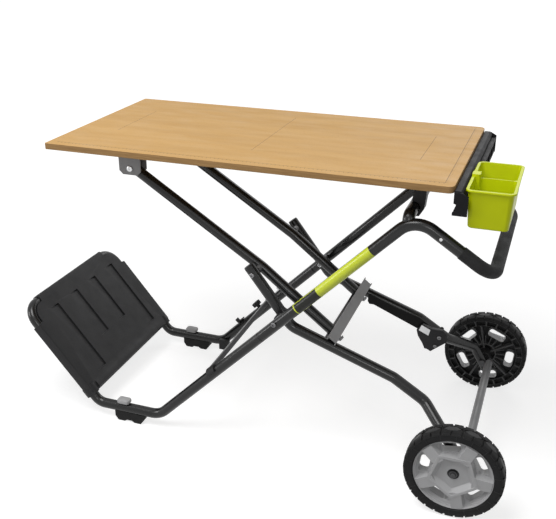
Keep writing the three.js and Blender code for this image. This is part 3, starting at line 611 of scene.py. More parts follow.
ACROSS = Vector((0, 1, 0))
FRAME_UP = heading_of(FOOT_BEND, FRAME_PEAK)
FRAME_OUT = Vector((-FRAME_UP.z, 0, FRAME_UP.x))
SEAM_GAP = 0.5
PEAK_RADIUS = 60
HANDLE_RADIUS = 45
FOOT_RADIUS = 60
TOE_RADIUS = 40
TOE_TOP_RADIUS = 45
BEND_STEPS = 14


def main_frame():
    """The two bent tubes of the frame, which meet at a seam. Gives the lower one's route."""
    upper = mirrored([moved(FRAME_SEAM, FRAME_UP, SEAM_GAP), FRAME_PEAK, HANDLE_BAR], FRAME_Y)
    handle = bent(upper, [PEAK_RADIUS, HANDLE_RADIUS, HANDLE_RADIUS, PEAK_RADIUS])
    finished("handle_tube", sweep(handle, TUBE, BORE), "frame", "frame_paint")
    lower = mirrored([moved(FRAME_SEAM, FRAME_UP, -SEAM_GAP), FOOT_BEND, TOE_BEND, TOE_TOP], FRAME_Y)
    radii = [FOOT_RADIUS, TOE_RADIUS, TOE_TOP_RADIUS]
    loop = bent(lower, radii + radii[::-1])
    finished("toe_loop_tube", sweep(loop, TUBE, BORE), "frame", "frame_paint")
    return loop


GRIP = 15.5
GRIP_BORE = TUBE + 0.1
GRIP_START_X = 523


def grip():
    """Foam sleeve with rounded ends on the handle."""
    slope = heading_of(FRAME_PEAK, HANDLE_BAR)
    start = moved(HANDLE_BAR, slope, (GRIP_START_X - HANDLE_BAR[0]) / slope.x)
    route = bent(mirrored([start, HANDLE_BAR], FRAME_Y), [HANDLE_RADIUS, HANDLE_RADIUS], BEND_STEPS)
    foam = sweep(route, GRIP, GRIP_BORE, 40, 0.9)
    sleeve = make("handle_grip_foam", foam, "frame", "foam", ("handle_grip",))


CROSS_END = 216
CROSS_DROP = 22
CROSS_RADIUS = 15


def cross_tube():
    """Worktop hinge tube, its ends turned down onto the frame tubes."""
    foot = (TOP_PIVOT[0], TOP_PIVOT[1] - CROSS_DROP)
    route = bent(mirrored([foot, TOP_PIVOT], CROSS_END), [CROSS_RADIUS, CROSS_RADIUS], BEND_STEPS)
    finished("upper_cross_tube", sweep(route, TUBE, BORE), "frame", "frame_paint")


def arc_sleeve(along, stand, lean, ends, radii, half_angle, steps=18):
    """Part of a sleeve on a straight tube: an arc about one side of it, carried between its ends."""
    section = []
    for radius, order in zip(radii, (1, -1)):
        angles = [half_angle * (2 * i / steps - 1) for i in range(steps + 1)][::order]
        section += [polar(radius, 90 - angle) for angle in angles]
    shape = prism(section, 0, (ends[1] - ends[0]).length)
    return placed(shape, on_axes(lean, stand, along, ends[0]))


# Bands on the near tube's outer side: reach along X, inner and outer radius, half the angle round the tube
BANDS = (
    ("colour_band", (143.5, 323), (TUBE + 0.02, TUBE + 0.3), 74, "bin_plastic", BAND_LIME),
    ("colour_band_inset", (146, 199), (TUBE + 0.28, TUBE + 0.4), 62, "dark_plastic", BAND_DARK),
)


def colour_band():
    """Plain band of colour, with a dark inset at its lower end."""
    for name, reach, radii, angle, slot, finish in BANDS:
        ends = [spot(FOOT_BEND, -FRAME_Y) + FRAME_UP * ((x - FOOT_BEND[0]) / FRAME_UP.x) for x in reach]
        shape = arc_sleeve(FRAME_UP, -ACROSS, FRAME_OUT, ends, radii, angle)
        make(name, shape, "frame", slot, finish=finish)


BAR_U = 243
SADDLE = {"half": 14, "radii": (TUBE + 0.3, 19.6), "angle": 78}


def bar_saddles():
    """Moulded saddles that hold the lower bar's ends on the tubes."""
    for side, sign in SIDES:
        middle = spot(FOOT_BEND, sign * FRAME_Y) + FRAME_UP * BAR_U
        ends = [middle - FRAME_UP * SADDLE["half"], middle + FRAME_UP * SADDLE["half"]]
        shape = arc_sleeve(FRAME_UP, FRAME_OUT, ACROSS, ends, SADDLE["radii"], SADDLE["angle"])
        make(f"bar_saddle_{side}", shape, "frame", "dark_plastic", bevel=1.4)


# Toe plate: local X across, Y up the plate, Z out of its load face
PLATE = {"half": 239, "low": 30, "high": 348, "back": -8, "face": 17, "corner": 64, "foot": 14, "round": 5}
LIP = {"half": 205, "top": 50, "face": 20.5}
LIP_SECTION = (
    (PLATE["low"], 2), (LIP["top"] + 14, PLATE["face"] - 3), (LIP["top"], LIP["face"]),
    (PLATE["low"] + 5, LIP["face"]), (PLATE["low"], 15),
)
FLUTES = ((-150, 70, 293), (-50, 141, 293), (50, 141, 293), (150, 70, 293))
FLUTE_HALF = 26
FLUTE_DEPTH = 4.2
HOOK = {"start": 16, "depth": FLUTE_DEPTH + 4, "half": 2}
CELLS = {"columns": 4, "rows": ((58, 178), (184, 294)), "margin": 52, "wall": 4, "roof": 9}
TOE_CLIP = {"across": 222, "reach": (28, 56), "radii": (TUBE + 0.4, 19.8), "angle": 172}
# Where the plate steps back at its upper corners and shows the bend of the loop
BEND_AT = (177, 286.4)
STEP_RADIUS = 40
STEP_OUTER = 120
STEP_OVERRUN = 10
# Turns that carry a section onto the plate: drawn across it, and drawn up it
DRAWN_ACROSS = Matrix(((0, 0, 1, 0), (1, 0, 0, 0), (0, 1, 0, 0), (0, 0, 0, 1)))
DRAWN_UP = Matrix(((1, 0, 0, 0), (0, 0, -1, 0), (0, 1, 0, 0), (0, 0, 0, 1)))


def plate_body():
    """Slab with a rounded front edge, and the lip along its foot."""
    half, low, high, face = PLATE["half"], PLATE["low"], PLATE["high"], PLATE["face"]
    radius, corner, foot = PLATE["round"], PLATE["corner"], PLATE["foot"]
    steps = [(0.0, PLATE["back"])]
    for angle in range(0, 91, 15):
        across, out = polar(radius, angle)
        steps.append((radius - across, face - radius + out))
    layers = []
    for inset, height in steps:
        radii = (foot, foot, corner - inset, corner - inset)
        outline = rounded(-half + inset, half - inset, low + inset * 0.4, high - inset, radii, 14)
        layers.append([(x, y, height) for x, y in outline])
    lip = placed(prism(LIP_SECTION, -LIP["half"], LIP["half"]), DRAWN_ACROSS)
    return combined("UNION", stacked(layers), lip)


def flute_cutter(start, end, depth, low, high):
    """A wedge that sinks from one edge to the other, drawn up the plate."""
    face = PLATE["face"]
    clear = face + 9
    section = ((start, face + 0.4), (end, face - depth), (end, clear), (start, clear))
    return placed(prism(section, -high, -low), DRAWN_UP)


def corner_cutter(side):
    """A wide arc round one bend of the loop, cut out of the plate's corner."""
    angles = range(-STEP_OVERRUN, 91 + STEP_OVERRUN, 5)
    arc = [polar(STEP_RADIUS, a) for a in angles] + [polar(STEP_OUTER, a) for a in reversed(angles)]
    outline = [(side * (BEND_AT[0] + x), BEND_AT[1] + y) for x, y in arc]
    return prism(outline, PLATE["back"] - 2, PLATE["face"] + 6)


def toe_plate(loop):
    """Moulded plate with four flutes in its face and cells in its back, clipped over the loop."""
    cutters = []
    for x, low, high in FLUTES:
        end = x + FLUTE_HALF
        cutters.append(flute_cutter(x - FLUTE_HALF, end, FLUTE_DEPTH, low, high))
        top = (high - HOOK["half"], high + HOOK["half"])
        cutters.append(flute_cutter(x - HOOK["start"], end, HOOK["depth"], *top))
    width = 2 * (PLATE["half"] - CELLS["margin"]) / CELLS["columns"]
    for column in range(CELLS["columns"]):
        x0 = CELLS["margin"] - PLATE["half"] + width * column + CELLS["wall"] / 2
        x1 = x0 + width - CELLS["wall"]
        for low, high in CELLS["rows"]:
            cutters.append(block(x0, x1, low, high, PLATE["back"] - 1, PLATE["face"] - CELLS["roof"]))
    cutters += [corner_cutter(side) for side in (-1, 1)]
    up = heading_of(TOE_BEND, TOE_TOP)
    out = Vector((up.z, 0, -up.x))
    to_bench = on_axes(ACROSS, up, out, spot(TOE_BEND, 0))
    plate = placed(carved(plate_body(), *cutters), to_bench)
    plate = carved(plate, sweep(loop, TUBE + GAP))
    finished("toe_plate", plate, "frame", "dark_plastic", bevel=0.7)
    for side, sign in SIDES:
        ends = [to_bench @ Vector((sign * TOE_CLIP["across"], reach, 0)) for reach in TOE_CLIP["reach"]]
        clip = arc_sleeve(up, out, ACROSS, ends, TOE_CLIP["radii"], TOE_CLIP["angle"])
        make(f"toe_clip_{side}", clip, "frame", "dark_plastic", bevel=1.2)


# Fasteners
def dome_head(radius, height, socket=0.45, rim=0.35, crown=0.42):
    """A button head with a hexagonal socket sunk in it."""
    steps = 6
    profile = [(0, 0), (radius, 0), (radius, height * rim)]
    for step in range(1, steps + 1):
        across, up = polar(1, 90 * step / steps)
        profile.append((radius * (crown + (1 - crown) * across), height * (rim + (1 - rim) * up)))
    profile.append((0, height))
    hole = [polar(radius * socket, 60 * i) for i in range(6)]
    return carved(turned(profile, 36), prism(hole, height * 0.4, height + 1))


def hex_head(across, height, washer):
    """A hexagon on a round washer, its top corners turned off."""
    corner = across / math.cos(math.radians(30)) / 2
    thick = 1.6
    head = prism([polar(corner, 60 * i) for i in range(6)], thick, height)
    top = [edge for edge in head.edges if all(vert.co.z == height for vert in edge.verts)]
    bmesh.ops.bevel(head, geom=top, offset=0.9, segments=1, affect="EDGES")
    ring = turned([(0, 0), (washer, 0), (washer, 1.2), (washer - 0.5, thick), (0, thick)], 32)
    return joined(ring, head)


def shank(radius, length):
    return turned([(0, -length), (radius, -length), (radius, 0.4), (0, 0.4)], 20)


def pair(name):
    return [f"{name}_{side}" for side, _ in SIDES]


# Nodes kept in the CAD's own shape: body, slot, edge rounding, a finish of their own, and their names
REFINED = (
    ("frame", "grey_paint", 1.0, DARK_STEEL, ("lower_cross_bar",)),
    ("frame", "dark_plastic", 1.2, None, ("latch_hook",)),
    ("frame", "bright_steel", 0.7, None, ("latch_clip",)),
    ("frame", "dark_plastic", 2.0, None, ("stop_block",)),
    ("frame", "bright_steel", 0.5, DARK_STEEL, pair("pivot_spacer")),
    ("frame", "bright_steel", 0.6, None, pair("pivot_nut")),
    ("frame", "foot_rubber", 2.4, None, pair("foot_pad")),
    ("knob", "dark_plastic", 0.9, None, ("latch_knob",)),
    ("wheel_legs", "bright_steel", 0.8, BLACK_PAINT, ("latch_plate",)),
    ("wheel_legs", "bright_steel", 0.6, DARK_STEEL, pair("stub_axle")),
    ("wheel_legs", "bright_steel", 0.6, DARK_STEEL, pair("axle_nut")),
    ("pedal", "dark_plastic", 1.6, None, ("latch_pedal",)),
    ("worktop", "grey_paint", 1.0, None, pair("strut_bracket")),
    ("worktop", "dark_plastic", 1.2, None, pair("hinge_lug")),
    ("worktop", "rail_plastic", 1.2, None, ("accessory_rail",)),
    ("struts", "grey_paint", 0.7, None, ("stop_channel",)),
    ("struts", "grey_paint", 0.8, DARK_STEEL, pair("knee_spacer")),
)


def refined_nodes():
    """The pieces that need nothing more than the CAD's shape."""
    for body, slot, rounding, finish, nodes in REFINED:
        for node in nodes:
            refined(node, body, slot, rounding, finish)


LATCH_PANEL = ((393.3, 255), (418.8, 243.6), (414.4, 225), (386.6, 237.4))
LATCH_NUB = 67.7
NUB_PROFILE = ((0, 0), (5, 0), (5, 3.4), (4, 5), (2, 5.8), (0, 6))
PEDAL_FACE = 138


def latch_details():
    """Bright plain panel on the foot latch, and the nub that stands on the leg above it."""
    make("latch_panel", plate_y(LATCH_PANEL, PEDAL_FACE, 0.9), "pedal", "bright_steel", bevel=0.3)
    along = heading_of(LEG_BENDS[2], LEG_BENDS[3])
    standing = Vector((-along.z, 0, along.x))
    foot = spot(LEG_BENDS[2], LEG_Y) + along * LATCH_NUB + standing * (TUBE - 1)
    nub = placed(turned(NUB_PROFILE, 20), facing(standing, foot))
    make("latch_nub", nub, "wheel_legs", "dark_plastic")


# Bolts through pivots: body, pivot, where the head sits, length, head radius, finish
CLEAR = TUBE + GAP
PIVOT_BOLTS = {
    "pivot_bolt": ("frame", LEG_PIVOT, FRAME_Y + CLEAR, FRAME_Y - LEG_Y + 2 * CLEAR + 8, 6.5, DULL_STEEL),
    "knee_bolt": ("wheel_legs", KNEE, LEG_Y + CLEAR, 2 * TUBE, 6.5, DULL_STEEL),
    "strut_bolt": ("worktop", STRUT_PIVOT, STRUT_Y + CLEAR + 3 + 2 * GAP, 42, 8, None),
}
# Bolts on the pedal: body, place, head radius, shank radius, length
PEDAL_BOLTS = {
    "pedal_bolt": ("wheel_legs", (445, 223), 6, 4, 18),
    "pedal_pin": ("pedal", (435, 195), 5, 3.2, 10),
}
STOP_BOLT_OUT = 8.9


def bolts():
    """Pivot, knee, strut, pedal and stop bolts with their real heads."""
    for name, (body, pivot, face, length, radius, finish) in PIVOT_BOLTS.items():
        for side, sign in SIDES:
            bolt = joined(dome_head(radius, 3.8), shank(4, length))
            placed(bolt, facing_y(sign, pivot, sign * face))
            finished(f"{name}_{side}", bolt, body, "bright_steel", finish=finish)
    for node, (body, place, radius, stem, length) in PEDAL_BOLTS.items():
        bolt = joined(dome_head(radius, 3), shank(stem, length))
        placed(bolt, facing_y(-1, place, PEDAL_FACE - GAP))
        finished(node, bolt, body, "bright_steel", finish=DULL_STEEL)
    along = heading_of(STRUT_BEND, STRUT_END)
    standing = Vector((-along.z, 0, along.x))
    for side, sign in SIDES:
        at = spot(STRUT_END, sign * STRUT_Y) + along * STOP_BOLT_OUT
        bolt = joined(hex_head(14, 5, 9), shank(4, 24))
        placed(bolt, on_axes(standing, -ACROSS, along, at))
        finished(f"stop_bolt_{side}", bolt, "struts", "bright_steel", finish=DULL_STEEL)


# Foot caps: middle, half sizes, corner, and the height and inset of each layer
CAP_X = -364
CAP_HALF = (19, 13)
CAP_CORNER = 8
CAP_LAYERS = ((52.2, 5.5), (53.6, 1.6), (56, 0.2), (61.5, 0.2), (64.4, 1.8), (66, 5))
NECK = {"half": (12, 8), "corner": 5, "low": 46, "high": 53}


def around(x, y, half, inset, corner, steps):
    """A rounded rectangle about a place."""
    a, b = half[0] - inset, half[1] - inset
    return rounded(x - a, x + a, y - b, y + b, (corner - inset,) * 4, steps)


def foot_caps():
    """Clamping caps above the foot tubes: a rounded light cap on a dark neck."""
    for side, sign in SIDES:
        y = sign * FRAME_Y
        layers = []
        for height, inset in CAP_LAYERS:
            outline = around(CAP_X, y, CAP_HALF, inset, CAP_CORNER, 3)
            layers.append([(*point, height) for point in outline])
        finished(f"foot_cap_{side}", stacked(layers), "frame", "bright_steel", bevel=0.5, finish=CAP_GREY)
        neck = prism(around(CAP_X, y, NECK["half"], 0, NECK["corner"], 4), NECK["low"], NECK["high"])
        make(f"foot_neck_{side}", neck, "frame", "dark_plastic", bevel=0.6)


RIVET_AT = (478, 668.9)
RIVET_PROFILE = ((0, -0.6), (4.2, -0.6), (4.2, 0.3), (3.4, 1.5), (1.8, 2.1), (0, 2.3))


def rivets():
    """Small rivet on the outside of each handle leg."""
    for side, sign in SIDES:
        head = placed(turned(RIVET_PROFILE, 20), facing_y(sign, RIVET_AT, sign * (FRAME_Y + TUBE - 0.2)))
        make(f"handle_rivet_{side}", head, "frame", "bright_steel")


# Wheel legs and struts
PLUG = TUBE - 0.6
PLUG_STEM = BORE - 0.3
PLUG_PROFILE = (
    (0, -6), (PLUG_STEM, -6), (PLUG_STEM, 0.2), (PLUG, 0.2), (PLUG, 1.4), (PLUG - 1.2, 2.2), (0, 2.4),
)
LEG_RADII = (50, 50, 34, 34)
LEG_ACROSS = (LEG_Y, LEG_Y, LEG_Y, LEG_Y, SPLAY_Y, SPLAY_Y)
BRACE_END = SPLAY_Y - TUBE * 0.55
BRACE_TUBE = (11, 9.4)
STRUT_PAST = 17
STRUT_RADIUS = 150


def wheel_legs():
    """Legs with a low plug in each end, and the brace between them."""
    for side, sign in SIDES:
        route = bent([spot(bend, sign * y) for bend, y in zip(LEG_BENDS, LEG_ACROSS)], LEG_RADII)
        finished(f"wheel_leg_{side}", sweep(route, TUBE, BORE), "wheel_legs", "frame_paint")
        (first, heading), last = route[0], route[-1]
        for count, (place, outward) in enumerate(((first, -heading), last)):
            plug = placed(turned(PLUG_PROFILE, 32), facing(outward, place))
            make(f"leg_plug_{side}_{count}", plug, "wheel_legs", "dark_plastic")
    brace = sweep(bent(mirrored([BRACE], BRACE_END), []), *BRACE_TUBE, 32)
    finished("leg_brace_tube", brace, "wheel_legs", "grey_paint")


def struts():
    """Bent tubes from the worktop to the stop."""
    top = moved(STRUT_PIVOT, heading_of(STRUT_PIVOT, KNEE), -STRUT_PAST)
    for side, sign in SIDES:
        corners = [spot(point, sign * STRUT_Y) for point in (top, STRUT_BEND, STRUT_END)]
        route = bent(corners, [STRUT_RADIUS], BEND_STEPS)
        finished(f"strut_{side}", sweep(route, TUBE, BORE), "struts", "frame_paint")


# Wheels: local Z runs out from the wheel's middle
TREAD_BLOCKS = 30
WINDOWS = 5
SIDEWALL_RIBS = 18
CORE_RIBS = 20
TYRE_PROFILE = (
    (95.3, -5.6), (107.3, -5.6), (107.3, -21.2), (110, -22), (112.6, -20.8), (114, -18), (114.8, -13),
    (114.8, 13), (114, 18), (112.6, 20.8), (109.5, 22.2), (100, 22.4), (97, 21.6), (95.3, 19.6),
)
# Panels along the middle of the tread: half width, length of the flats, radius of the foot
PANEL = {"half": 7.6, "fill": 0.43, "flat": 0.45, "foot": 113.8, "shrink": 0.95}
# A lug from the tread over the shoulder: radius and distance across of its top and its foot, and its width
LUG_PATH = ((WHEEL_RADIUS, 9.4), (WHEEL_RADIUS - 0.3, 15.0), (117.4, 19.4), (115.4, 21.6), (112.8, 22.6))
LUG_BASE = ((113.6, 9.4), (113.4, 13.6), (112.6, 17.6), (111.6, 19.0), (110.6, 20.6))
LUG_WIDTH = (1.0, 1.0, 0.97, 0.9, 0.8)
LUG_FILL = 0.455
# Where a lug's two inner corners lie across the tread: beside a panel, and in the gap between panels
LUG_INNER = (10.2, 3.2)


def shoulder_lug(middle, half, sign, inner):
    """A lug that runs from the tread over the shoulder, its inner edge set by the panels beside it."""
    layers = []
    for step, ((r_top, y_top), (r_low, y_low), width) in enumerate(zip(LUG_PATH, LUG_BASE, LUG_WIDTH)):
        low = half * width
        top = low * 0.9
        lows, tops = ((y_low, y_low), (y_top, y_top)) if step else (inner, inner)
        corners = (
            (middle - low, r_low, lows[0]), (middle - top, r_top, tops[0]),
            (middle + top, r_top, tops[1]), (middle + low, r_low, lows[1]),
        )
        layers.append([(*polar(radius, angle), sign * across) for angle, radius, across in corners])
    return stacked(layers)


def tyre():
    """Carcass with smooth side walls and a row of lugs along each shoulder."""
    parts = [turned(TYRE_PROFILE, 120)]
    pitch = 360 / TREAD_BLOCKS
    for i in range(TREAD_BLOCKS):
        inner = LUG_INNER if i % 2 == 0 else LUG_INNER[::-1]
        for sign in (-1, 1):
            parts.append(shoulder_lug(pitch * (i + 0.5), pitch * LUG_FILL, sign, inner))
    for i in range(SIDEWALL_RIBS):
        parts.append(spun(block(-0.6, 0.6, 97.5, 110, 21, 22.9), i, SIDEWALL_RIBS))
    return joined(*parts)


def tread_panels():
    """The tread's centre row of six-sided blocks."""
    parts = []
    pitch = 720 / TREAD_BLOCKS
    tip = pitch * PANEL["fill"]
    flat = tip * PANEL["flat"]
    wide = PANEL["half"]
    hexagon = ((-tip, 0), (-flat, wide), (flat, wide), (tip, 0), (flat, -wide), (-flat, -wide))
    shrink = PANEL["shrink"]
    rings = ((PANEL["foot"], 1.0), (WHEEL_RADIUS - 0.8, shrink), (WHEEL_RADIUS, shrink - 0.06))
    for i in range(TREAD_BLOCKS // 2):
        layers = []
        for radius, scale in rings:
            layers.append([(*polar(radius, pitch * i + a * scale), across * scale) for a, across in hexagon])
        parts.append(stacked(layers))
    return joined(*parts)


# Windows: inner and outer edge, half width and corner, through the cover, round its sleeves and in the core
COVER_WINDOW = (58.5, 81.5, 24.5, 8)
SLEEVE_WINDOW = (57.4, 82.6, 25.6, 8.8)
CORE_WINDOW = (57, 83, 26, 9)


def window_cutters(window, turn, low=-60, high=40):
    """Five rounded windows, as cutters through the wheel."""
    inner, outer, half, corner = window
    outline = rounded(-half, half, inner, outer, (corner,) * 4, 5)
    return [spun(prism(outline, low, high), i, WINDOWS, turn) for i in range(WINDOWS)]


CORE_PROFILE = (
    (6.8, -46), (16, -46), (17, -45), (19.5, -4), (88.6, -3.4), (89, -18.5), (91, -18.5), (91.4, -8),
    (105, -8), (105.2, -20.6), (107, -20.6), (107, -6), (94.6, -6), (94.6, 14), (89.5, 14), (89.5, 4),
    (20, 4), (20, 9.8), (6.8, 9.8),
)
# Ribs on the core's inner face: half width, reach outwards, heights
RIM_RIB = (-1.6, 1.6, 90.5, 106, -20, -7.6)
HUB_RIB = (-1.2, 1.2, 31, 56.6, -16, -3.1)
SPOKE_RIB = (-2.2, 2.2, 18, 90, -20, -3.1)


def wheel_core(turn):
    """Black inner wheel: barrel, web and hub sleeve."""
    return carved(turned(CORE_PROFILE, 96), *window_cutters(CORE_WINDOW, turn))


def core_ribs(turn):
    """Ring and ribs standing on the inner face of the wheel core."""
    ribs = [turned(((29, -3.2), (29, -18), (32, -18), (32, -3.2)), 64)]
    for i in range(CORE_RIBS):
        for rib in (RIM_RIB, HUB_RIB):
            ribs.append(spun(block(*rib), i + 0.5, CORE_RIBS, turn))
    for i in range(WINDOWS):
        ribs.append(spun(block(*SPOKE_RIB), i + 0.5, WINDOWS, turn))
    return joined(*ribs)


# Outer face of the wheel cover: heights out from the wheel's middle, pentagon sizes to its flats
COVER_OUT = 94.2
COVER_BACK = 4.6
POCKET_FLOOR = 6
FLOOR_EDGE = 89
BOSS = {"low": 54, "high": 51, "top": 22.8}
RECESS = {"low": 34, "high": 45, "floor": 11.5}
SPOKE = {"low": 18, "high": 14, "inner": 46, "outer": 91, "inner_top": 22.2, "outer_top": 19}
BORE_RADIUS = 14.2
FLOOR_BORE = BORE_RADIUS + 8
FLOOR_PROFILE = (
    (FLOOR_BORE, COVER_BACK), (FLOOR_EDGE, COVER_BACK),
    (FLOOR_EDGE, POCKET_FLOOR), (FLOOR_BORE, POCKET_FLOOR),
)
RIM_PROFILE = (
    (82.8, COVER_BACK), (89.3, COVER_BACK), (89.3, 14.4), (COVER_OUT, 14.4), (COVER_OUT, 18.2), (93.6, 19),
    (92.4, 18.6), (90.4, 14), (87.4, 9.4), (82.8, POCKET_FLOOR),
)
# Turn of each wheel, and the angle by which the spokes lead the corners of the boss
WHEEL_TURN = {"near": math.radians(11), "far": math.radians(-12)}
SPOKE_LEAD = math.radians(11)


def pentagon(flat, turn, corner, height, steps=4):
    """A five-sided layer with rounded corners, pointing between the windows."""
    layer = []
    half = math.pi / WINDOWS
    reach = (flat - corner) / math.cos(half)
    for i in range(WINDOWS):
        angle = math.pi / 2 + turn + half * (2 * i + 1)
        for step in range(steps + 1):
            lean = angle + half * (2 * step / steps - 1)
            x = reach * math.cos(angle) + corner * math.cos(lean)
            y = reach * math.sin(angle) + corner * math.sin(lean)
            layer.append((x, y, height))
    return layer


def spoke_layer(half, inner_height, outer_height):
    inner, outer = SPOKE["inner"], SPOKE["outer"]
    return (
        (-half, inner, inner_height), (half, inner, inner_height),
        (half, outer, outer_height), (-half, outer, outer_height),
    )


def wheel_cover(turn, boss_turn):
    """Grey cover: floor with window sleeves, outer ring, five spokes and a boss with a bevelled recess."""
    floor = turned(FLOOR_PROFILE, 96)
    parts = [carved(floor, *window_cutters(COVER_WINDOW, turn))]
    sleeves = window_cutters(SLEEVE_WINDOW, turn, -17, POCKET_FLOOR - 0.1)
    for sleeve, opening in zip(sleeves, window_cutters(COVER_WINDOW, turn)):
        parts.append(carved(sleeve, opening))
    parts.append(turned(RIM_PROFILE, 120))
    foot = COVER_BACK + 0.4
    for i in range(WINDOWS):
        low = spoke_layer(SPOKE["low"], foot, foot)
        high = spoke_layer(SPOKE["high"], SPOKE["inner_top"], SPOKE["outer_top"])
        parts.append(spun(stacked([low, high]), i + 0.5, WINDOWS, turn))
    boss = stacked([
        pentagon(BOSS["low"], boss_turn, 8, COVER_BACK + 0.2),
        pentagon(BOSS["high"], boss_turn, 7, BOSS["top"]),
    ])
    recess = stacked([
        pentagon(RECESS["low"], boss_turn, 4, RECESS["floor"]),
        pentagon(RECESS["high"], boss_turn, 5, BOSS["top"] + 0.01),
    ])
    low, high = COVER_BACK - 20, 40
    bore = turned(((0, low), (BORE_RADIUS, low), (BORE_RADIUS, high), (0, high)), 40)
    parts.append(carved(boss, recess, bore))
    return joined(*parts)


def wheels():
    """Both wheels, each turned a little so that its windows stand as in use."""
    for side, sign in SIDES:
        body = f"wheel_{side}"
        outward = facing_y(sign, AXLE, sign * WHEEL_Y)
        turn = WHEEL_TURN[side]
        core = placed(wheel_core(turn), outward)
        cover = placed(wheel_cover(turn, turn - SPOKE_LEAD), outward)
        finished(f"tyre_{side}", placed(tyre(), outward), body, "tyre")
        finished(f"wheel_core_{side}", core, body, "dark_plastic", bevel=0.5, finish=CORE_PLASTIC)
        finished(f"wheel_cover_{side}", cover, body, "hub_plastic", bevel=0.7)
        # The tread panels are painted lighter than the tyre: a painted highlight on its top
        make(f"tread_panels_{side}", placed(tread_panels(), outward), body, "tyre", finish=LIT_PANEL_RUBBER)
        # The ribs carry a lighter colour than the core: a painted highlight
        make(f"core_ribs_{side}", placed(core_ribs(turn), outward), body, "dark_plastic", finish=RIB_HIGHLIGHT_PLASTIC)


# Worktop and what hangs on its end
BOARD = (-503, 500, -261, 261)
BOARD_CORNERS = (4, 14, 14, 4)
BOARD_LEVELS = (784, 800)


def worktop():
    board = prism(rounded(*BOARD, BOARD_CORNERS, 10), *BOARD_LEVELS)
    finished("worktop", board, "worktop", "board", bevel=1.6, segments=3)


RAIL_FLANGE = {"x0": 519.6, "x1": 530, "y0": -28, "y1": 258.4, "z0": 738, "z1": 777}
RAIL_POCKETS = 5
POCKET = {"wall": 4, "depth": 4, "below": 6, "above": 7}
RAIL_END = (
    (500.6, 789), (516, 789), (531, 781), (531, 737), (499, 737), (499, 744), (506, 748), (506, 762),
    (500.6, 764),
)
RAIL_END_Y = (258.2, 262.5)


def rail_ends():
    """Moulded end pieces of the rail, wider than its section."""
    inner, outer = RAIL_END_Y
    for side, y in (("near", -inner), ("far", outer)):
        cap = plate_y(RAIL_END, y, outer - inner)
        make(f"rail_end_{side}", cap, "worktop", "rail_plastic", bevel=0.8)


def rail_flange():
    """Hanging flange on the rail's outer face, beyond the bin, with a row of shallow pockets."""
    x0, x1, y0, y1, z0, z1 = RAIL_FLANGE.values()
    wall = POCKET["wall"]
    pitch = (y1 - y0 - wall) / RAIL_POCKETS
    low, high = z0 + POCKET["below"], z1 - POCKET["above"]
    pockets = []
    for i in range(RAIL_POCKETS):
        start = y0 + wall + pitch * i
        pockets.append(block(x1 - POCKET["depth"], x1 + 1, start, start + pitch - wall, low, high))
    flange = carved(block(x0, x1, y0, y1, z0, z1), *pockets)
    make("rail_flange", flange, "worktop", "rail_plastic", bevel=0.8)


# Bin: its box at the rim, the middle that its walls lean towards, its divider, wall and lip
BIN = {"x0": 522, "x1": 626, "y0": -257, "y1": -35, "bottom": 706, "rim": 795}
BIN_MIDDLE = (574, -146)
BIN_NARROWS = 0.1
DIVIDER_Y = -142
BIN_WALL = 2.6
BIN_LIP = 4
# Rings of the lip: how far it stands out, its corner, and how far it lies below the rim
LIP_RINGS = ((3.2, 14, 4.4), (BIN_LIP, 15, 3.4), (BIN_LIP, 15, 0.9), (3.1, 14, 0))


def bin_ring(x0, x1, y0, y1, corner, height, taper=1.0):
    """One rounded outline of the bin, drawn in towards its middle by the taper."""
    ring = []
    for point in rounded(x0, x1, y0, y1, (corner,) * 4, 8):
        x, y = (middle + (at - middle) * taper for at, middle in zip(point, BIN_MIDDLE))
        ring.append((x, y, height))
    return ring


def bin_rings(x0, x1, y0, y1, corner, floor, top, foot):
    """Rings of a tapered block whose bottom edge is rounded by the foot radius."""
    steps = 4
    levels = []
    for step in range(steps + 1):
        across, up = polar(foot, 90 * step / steps)
        levels.append((foot - up, floor + foot - across))
    levels.append((0.0, top))
    rings = []
    for inset, height in levels:
        taper = 1 - BIN_NARROWS * (BIN["rim"] - height) / (BIN["rim"] - BIN["bottom"])
        box = (x0 + inset, x1 - inset, y0 + inset, y1 - inset)
        rings.append(bin_ring(*box, max(corner - inset, 1), height, taper))
    return rings


def parts_bin():
    """Tapered bin with a rolled lip, a divider between two compartments and a hanging tab."""
    wall, lip, rim, bottom = BIN_WALL, BIN_LIP, BIN["rim"], BIN["bottom"]
    x0, x1, y0, y1 = BIN["x0"] + lip, BIN["x1"] - lip, BIN["y0"] + lip, BIN["y1"] - lip
    outside = bin_rings(x0, x1, y0, y1, 12, bottom, rim - 5, 4)
    for out, corner, below in LIP_RINGS:
        outside.append(bin_ring(x0 - out, x1 + out, y0 - out, y1 + out, corner, rim - below))
    cutters = []
    for low, high in ((y0 + wall, DIVIDER_Y - wall / 2), (DIVIDER_Y + wall / 2, y1 - wall)):
        cutters.append(stacked(bin_rings(x0 + wall, x1 - wall, low, high, 9, bottom + wall, rim + 2, 6)))
    cutters.append(block(x0 + wall + 12, x1 - wall - 0.6, DIVIDER_Y - 11, DIVIDER_Y + 11, rim - 6, rim + 3))
    shell = carved(stacked(outside), *cutters)
    tab_outline = rounded(x0 - lip, x0 + 14, DIVIDER_Y - 12, DIVIDER_Y + 12, (2, 3, 3, 2), 4)
    tab = prism(tab_outline, rim - 36, rim + 4.5)
    finished("parts_bin", joined(shell, tab), "bin", "bin_plastic", bevel=0.6)


# Stage, light and camera, in metres
def camera_rays(graph):
    """1 for rays that show the background itself, straight or in a reflection."""
    path = graph.add("LightPath").outputs
    return graph.every("MAXIMUM", path["Is Camera Ray"], path["Is Glossy Ray"], path["Is Transmission Ray"])


